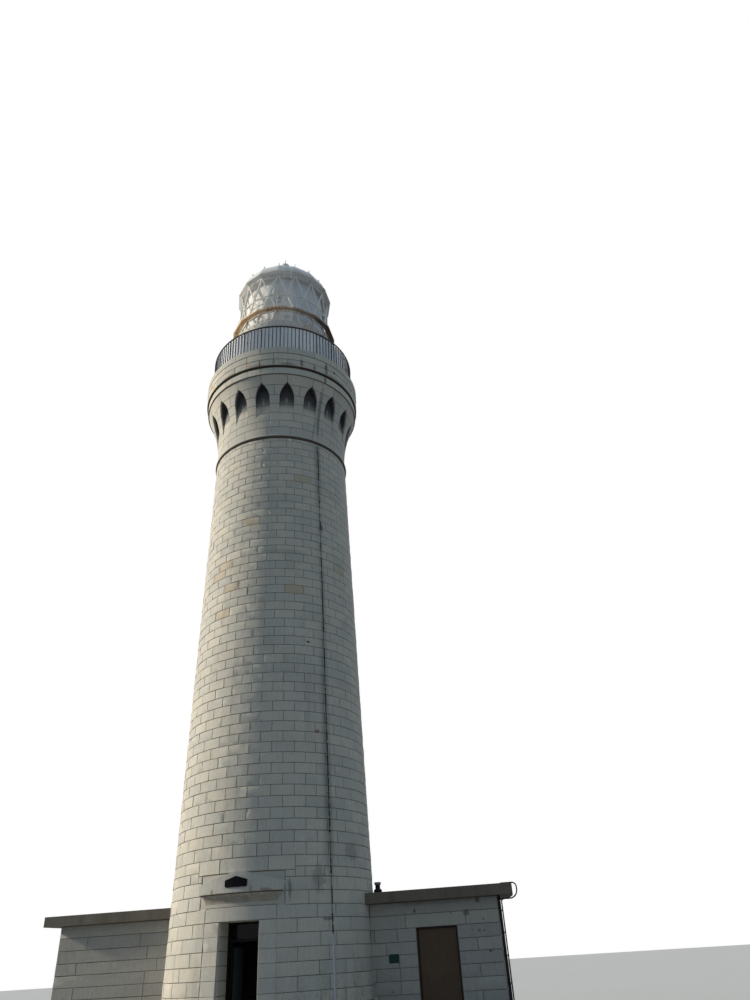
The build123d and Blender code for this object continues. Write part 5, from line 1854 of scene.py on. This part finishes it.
@dataclass
class Finishes:
    """Every material of the lighthouse, and the nodes that take it."""

    made: dict[str, bpy.types.Material] = field(default_factory=dict)

    def build(self) -> None:
        """Makes the materials and dresses the construction nodes."""
        for finish in (*self.stone(), *self.metal(), *self.rest()):
            self.made[finish.name] = finish.build()
        for name, nodes in self.uses().items():
            for node in nodes:
                dress(node, self.made[name])

    def stone(self) -> list[Granite | Mortar | Concrete]:
        """Returns the finishes of stone and concrete."""
        return [
            Granite("shaft_granite", stained=True, marks=SHAFT_MARKS),
            Granite("gallery_granite", runs=0.45, contrast=0.16, marks=COURSE_MARKS),
            # Painted shadow in the groove of the cornice, between 20.462 and 20.60.
            Granite("cornice_granite", runs=0.45, mortar_above=20.526, joint_colour=(0.075, 0.058, 0.042),
                    painted_shadow_line=(20.462, 20.60)),
            Granite("deck_granite", joints=DECK_JOINTS, runs=0.45, marks=DECK_MARKS),
            # Painted shadow under the neck roll, between 17.55 and 17.625.
            Granite("capital_granite", joints=BELL_JOINTS, runs=0.35, niches=True, marks=BELL_MARKS,
                    painted_shadow_line=(17.55, 17.625)),
            Granite("surround_granite", joints=SURROUND_JOINTS, runs=0.15),
            Granite("hood_granite", runs=0.20),
            # Painted shadow line at the fillet under the hood's cove.
            Granite("cove_granite", grey=(0.60, 0.58, 0.52), runs=0.25, marks=COVE_MARKS,
                    painted_shadow_line=(3.151, 3.179)),
            # Painted shade: the annex granite is darker and greyer than the shaft's, for the shadow that the
            # annex wall stands in.
            Granite("annex_granite", grey=(0.41, 0.395, 0.365), warm=(0.44, 0.42, 0.37), runs=0.45,
                    contrast=0.12, marks=ANNEX_MARKS, flat=True),
            Mortar(),
            Concrete("slab_concrete"),
            Concrete("floor_concrete", (0.22, 0.21, 0.19), (0.33, 0.31, 0.28), 0.2),
        ]

    def metal(self) -> list[Paint | LitAndShadedPaint | DoorPaint]:
        """Returns the finishes of painted metal."""
        return [
            Paint("white_paint", WHITE, 0.16, RustPattern.RUNS),
            Paint("lattice_paint", WHITE, 0.22, rusty_levels=LATTICE_RUST),
            Paint("roof_paint", (0.88, 0.885, 0.89), 0.10),
            Paint("room_paint", (0.78, 0.78, 0.77), 0.12, RustPattern.RUNS),
            # Painted light and shade on the eave, sill and catwalk, lighter to the lit side.
            LitAndShadedPaint("eave_paint", EAVE_ZONES, 0.5),
            LitAndShadedPaint("sill_paint", SILL_ZONES, 0.6),
            LitAndShadedPaint("catwalk_paint", CATWALK_ZONES, 0.7),
            Paint("old_bolts", (0.40, 0.30, 0.20), 0.8, rough=0.7),
            Paint("rail_paint", (0.016, 0.019, 0.032), 0.12, rough=0.6, dirt=0.2, gloss=0.25),
            Paint("dark_paint", NEAR_BLACK, 0.10, rough=0.7, dirt=0.15, gloss=0.15),
            Paint("roof_vent_paint", NEAR_BLACK, 0.10, rough=0.7, dirt=0.15, pale_above=3.362, gloss=0.15),
            Paint("pipe_grey", (0.42, 0.42, 0.42), 0.15, rough=0.5),
            Paint("conductor_metal", (0.022, 0.030, 0.027), 0.12, RustPattern.RUNS, 0.7, gloss=0.2),
            Paint("sleeve_grey", (0.66, 0.69, 0.74), 0.10, RustPattern.RUNS, 0.6, gloss=0.3),
            DoorPaint("brown_door_paint", (0.090, 0.062, 0.043)),
            DoorPaint("brown_frame_paint", (0.024, 0.019, 0.016)),
            DoorPaint("dark_door_paint", (0.010, 0.010, 0.011), 0.55, 0.0, 0.08),
            DoorPaint("plaque_metal", (0.006, 0.0055, 0.009), 0.60, 0.0, 0.04),
            DoorPaint("sign_green", (0.005, 0.034, 0.032), 0.45, 0.0),
        ]

    def rest(self) -> list[Glass | Netting | CurtainCloth]:
        """Returns the finishes of glass and cloth."""
        return [
            Glass("lantern_glazing"),
            # Painted shade: the door's glass is a nearly opaque dark sheet that stands for the dim room
            # behind it.
            Glass("door_glazing", (0.012, 0.014, 0.016), 0.85, 0.10, 0.12),
            Glass("leaf_glazing", (0.15, 0.18, 0.19), 0.90, 0.08, 0.2),
            Netting("gallery_netting"),
            CurtainCloth(),
        ]

    def uses(self) -> dict[str, tuple[str, ...]]:
        """Returns which construction nodes take which finish."""
        return {
            "dark_mortar": (
                "shaft_wall_odd", "shaft_wall_even", "shaft_wall_front", "annex_front_walls",
                "annex_door_lintel", "annex_rear_wall_odd", "annex_rear_wall_even",
            ),
            "cornice_granite": ("gallery_cornice",),
            "deck_granite": ("gallery_deck",),
            "surround_granite": ("entrance_jambs",),
            "hood_granite": ("entrance_sill", "entrance_lintel"),
            "cove_granite": ("entrance_hood",),
            "capital_granite": ("capital_odd", "capital_even"),
            "slab_concrete": ("annex_roof_slab",),
            "floor_concrete": ("tower_floor", "annex_floor"),
            "dark_door_paint": ("entrance_frame", "entrance_door"),
            "door_glazing": ("entrance_transom_glass",),
            "leaf_glazing": ("entrance_door_glass",),
            "rail_paint": ("gallery_railing",),
            "gallery_netting": ("gallery_screen",),
            "room_paint": ("service_room_wall",),
            "sill_paint": ("lantern_sill",),
            "lattice_paint": ("lantern_lattice", "catwalk_stays"),
            "white_paint": ("lantern_ladder",),
            "lantern_glazing": ("lantern_glass",),
            "catwalk_paint": ("lantern_catwalk",),
            "eave_paint": ("lantern_eave",),
            "roof_paint": ("lantern_roof", "roof_lugs", "roof_ventilator"),
            "pipe_grey": ("lightning_rod", "conductor_guard"),
            "conductor_metal": ("lightning_conductor",),
            "brown_door_paint": ("annex_door",),
            "brown_frame_paint": ("annex_door_frame",),
            "dark_paint": ("annex_downpipe", "annex_conduit"),
            "roof_vent_paint": ("annex_roof_vent",),
        }


# Stage, light and camera


@dataclass
class Studio:
    """The pale floor, the light and the camera."""

    camera_place: tuple[float, float, float] = (7.318, -22.521, 1.54)
    lens: float = 26.487
    turn: float = 9.415
    pitch: float = 32.054
    roll: float = 3.566
    sensor: float = 36.0
    far: float = 1000.0
    sun_azimuth: float = -84.0
    sun_height: float = 22.0
    sun_width: float = 5.0
    sun_power: float = 3.7
    sun_colour: Colour = (1.0, 0.91, 0.76)
    sky_power: float = 0.30
    sky_colour: Colour = (0.58, 0.79, 1.0)
    floor_radius: float = 260.0
    floor_level: float = -0.004

    def build(self) -> None:
        """Sets up the stage."""
        self._floor()
        self._sun()
        self._sky()
        self._camera()
        bpy.context.scene.view_settings.view_transform = "Standard"

    def _floor(self) -> None:
        """Adds the floor, pale to the camera and darker in the light that it gives back."""
        deselect()
        bpy.ops.mesh.primitive_circle_add(
            vertices=96, radius=self.floor_radius, fill_type="NGON", location=(0, 0, self.floor_level)
        )
        floor = bpy.context.object
        floor.name = "studio_floor"
        bpy.ops.object.transform_apply(location=True, rotation=False, scale=False)
        g = Graph("floor_pale")
        haze = g.noise(g.place(), 0.05, 2.0)
        pale = g.mix((0.70, 0.70, 0.69), (0.74, 0.74, 0.73), haze)
        colour = g.mix((0.24, 0.25, 0.26), pale, self._seen(g))
        floor.data.materials.append(g.close(colour, 0.95, Specular_IOR_Level=0.1))

    def _seen(self, g: Graph) -> Signal:
        """Returns 1 for rays that show the background itself.

        Args:
            g: The material or world.

        Returns:
            The value.
        """
        path = g.node("LightPath")
        seen = g.math("MAXIMUM", g.out(path, "Is Camera Ray"), g.out(path, "Is Glossy Ray"))
        return g.math("MAXIMUM", seen, g.out(path, "Is Transmission Ray"))

    def _sun(self) -> None:
        """Adds the soft key light."""
        key = bpy.data.lights.new("soft_key", "SUN")
        key.energy = self.sun_power
        key.angle = math.radians(self.sun_width)
        key.color = self.sun_colour
        lamp = bpy.data.objects.new("soft_key", key)
        bpy.context.scene.collection.objects.link(lamp)
        azimuth = math.radians(self.sun_azimuth)
        height = math.radians(self.sun_height)
        level = math.cos(height)
        towards = Vector((math.sin(azimuth) * level, -math.cos(azimuth) * level, math.sin(height)))
        lamp.rotation_euler = towards.to_track_quat("Z", "Y").to_euler()

    def _sky(self) -> None:
        """Adds the even sky, which looks white and shines blue."""
        g = Graph("even_sky", world=True)
        sky = g.node("Background", None, {"Color": self.sky_colour, "Strength": self.sky_power})
        white = g.node("Background", None, {"Color": (1.0, 1.0, 1.0)})
        blend = g.node("MixShader", None, {0: self._seen(g), 1: g.out(sky), 2: g.out(white)})
        g.node("OutputWorld", None, {0: g.out(blend)})
        bpy.context.scene.world = g.owner

    def _camera(self) -> None:
        """Adds the camera at the photograph's place."""
        data = bpy.data.cameras.new("photo_camera")
        data.lens = self.lens
        data.sensor_width = self.sensor
        data.clip_end = self.far
        camera = bpy.data.objects.new("photo_camera", data)
        bpy.context.scene.collection.objects.link(camera)
        a, p, r = (math.radians(v) for v in (self.turn, self.pitch, self.roll))
        forward = Vector((-math.sin(a) * math.cos(p), math.cos(a) * math.cos(p), math.sin(p)))
        right = Vector((math.cos(a), math.sin(a), 0.0))
        up = right.cross(forward)
        side = right * math.cos(r) - up * math.sin(r)
        top = right * math.sin(r) + up * math.cos(r)
        turn = Matrix((side, top, -forward)).transposed().to_4x4()
        camera.matrix_world = Matrix.Translation(self.camera_place) @ turn
        bpy.context.scene.camera = camera


def main() -> None:
    """Builds every sub-assembly in order."""
    logging.basicConfig(level=logging.INFO, format="%(name)s %(message)s")
    finishes = Finishes()
    finishes.build()
    made = finishes.made
    ShaftStonework().build(made["shaft_granite"])
    GalleryStonework().build(made["gallery_granite"])
    EntranceStonework().build(made["hood_granite"])
    AnnexStonework().build(made["annex_granite"])
    GalleryFittings().build(made["rail_paint"], made["room_paint"], made["old_bolts"])
    CatwalkFittings().build(made["catwalk_paint"], made["lattice_paint"])
    Curtain().build(made["curtain_cloth"])
    Conductor().build(made["conductor_metal"], made["sleeve_grey"])
    Plates().build(made["plaque_metal"], made["sign_green"], made["pipe_grey"])
    AnnexFittings().build(made["dark_paint"])
    Studio().build()
    deselect()


if __name__ == "__main__":
    main()
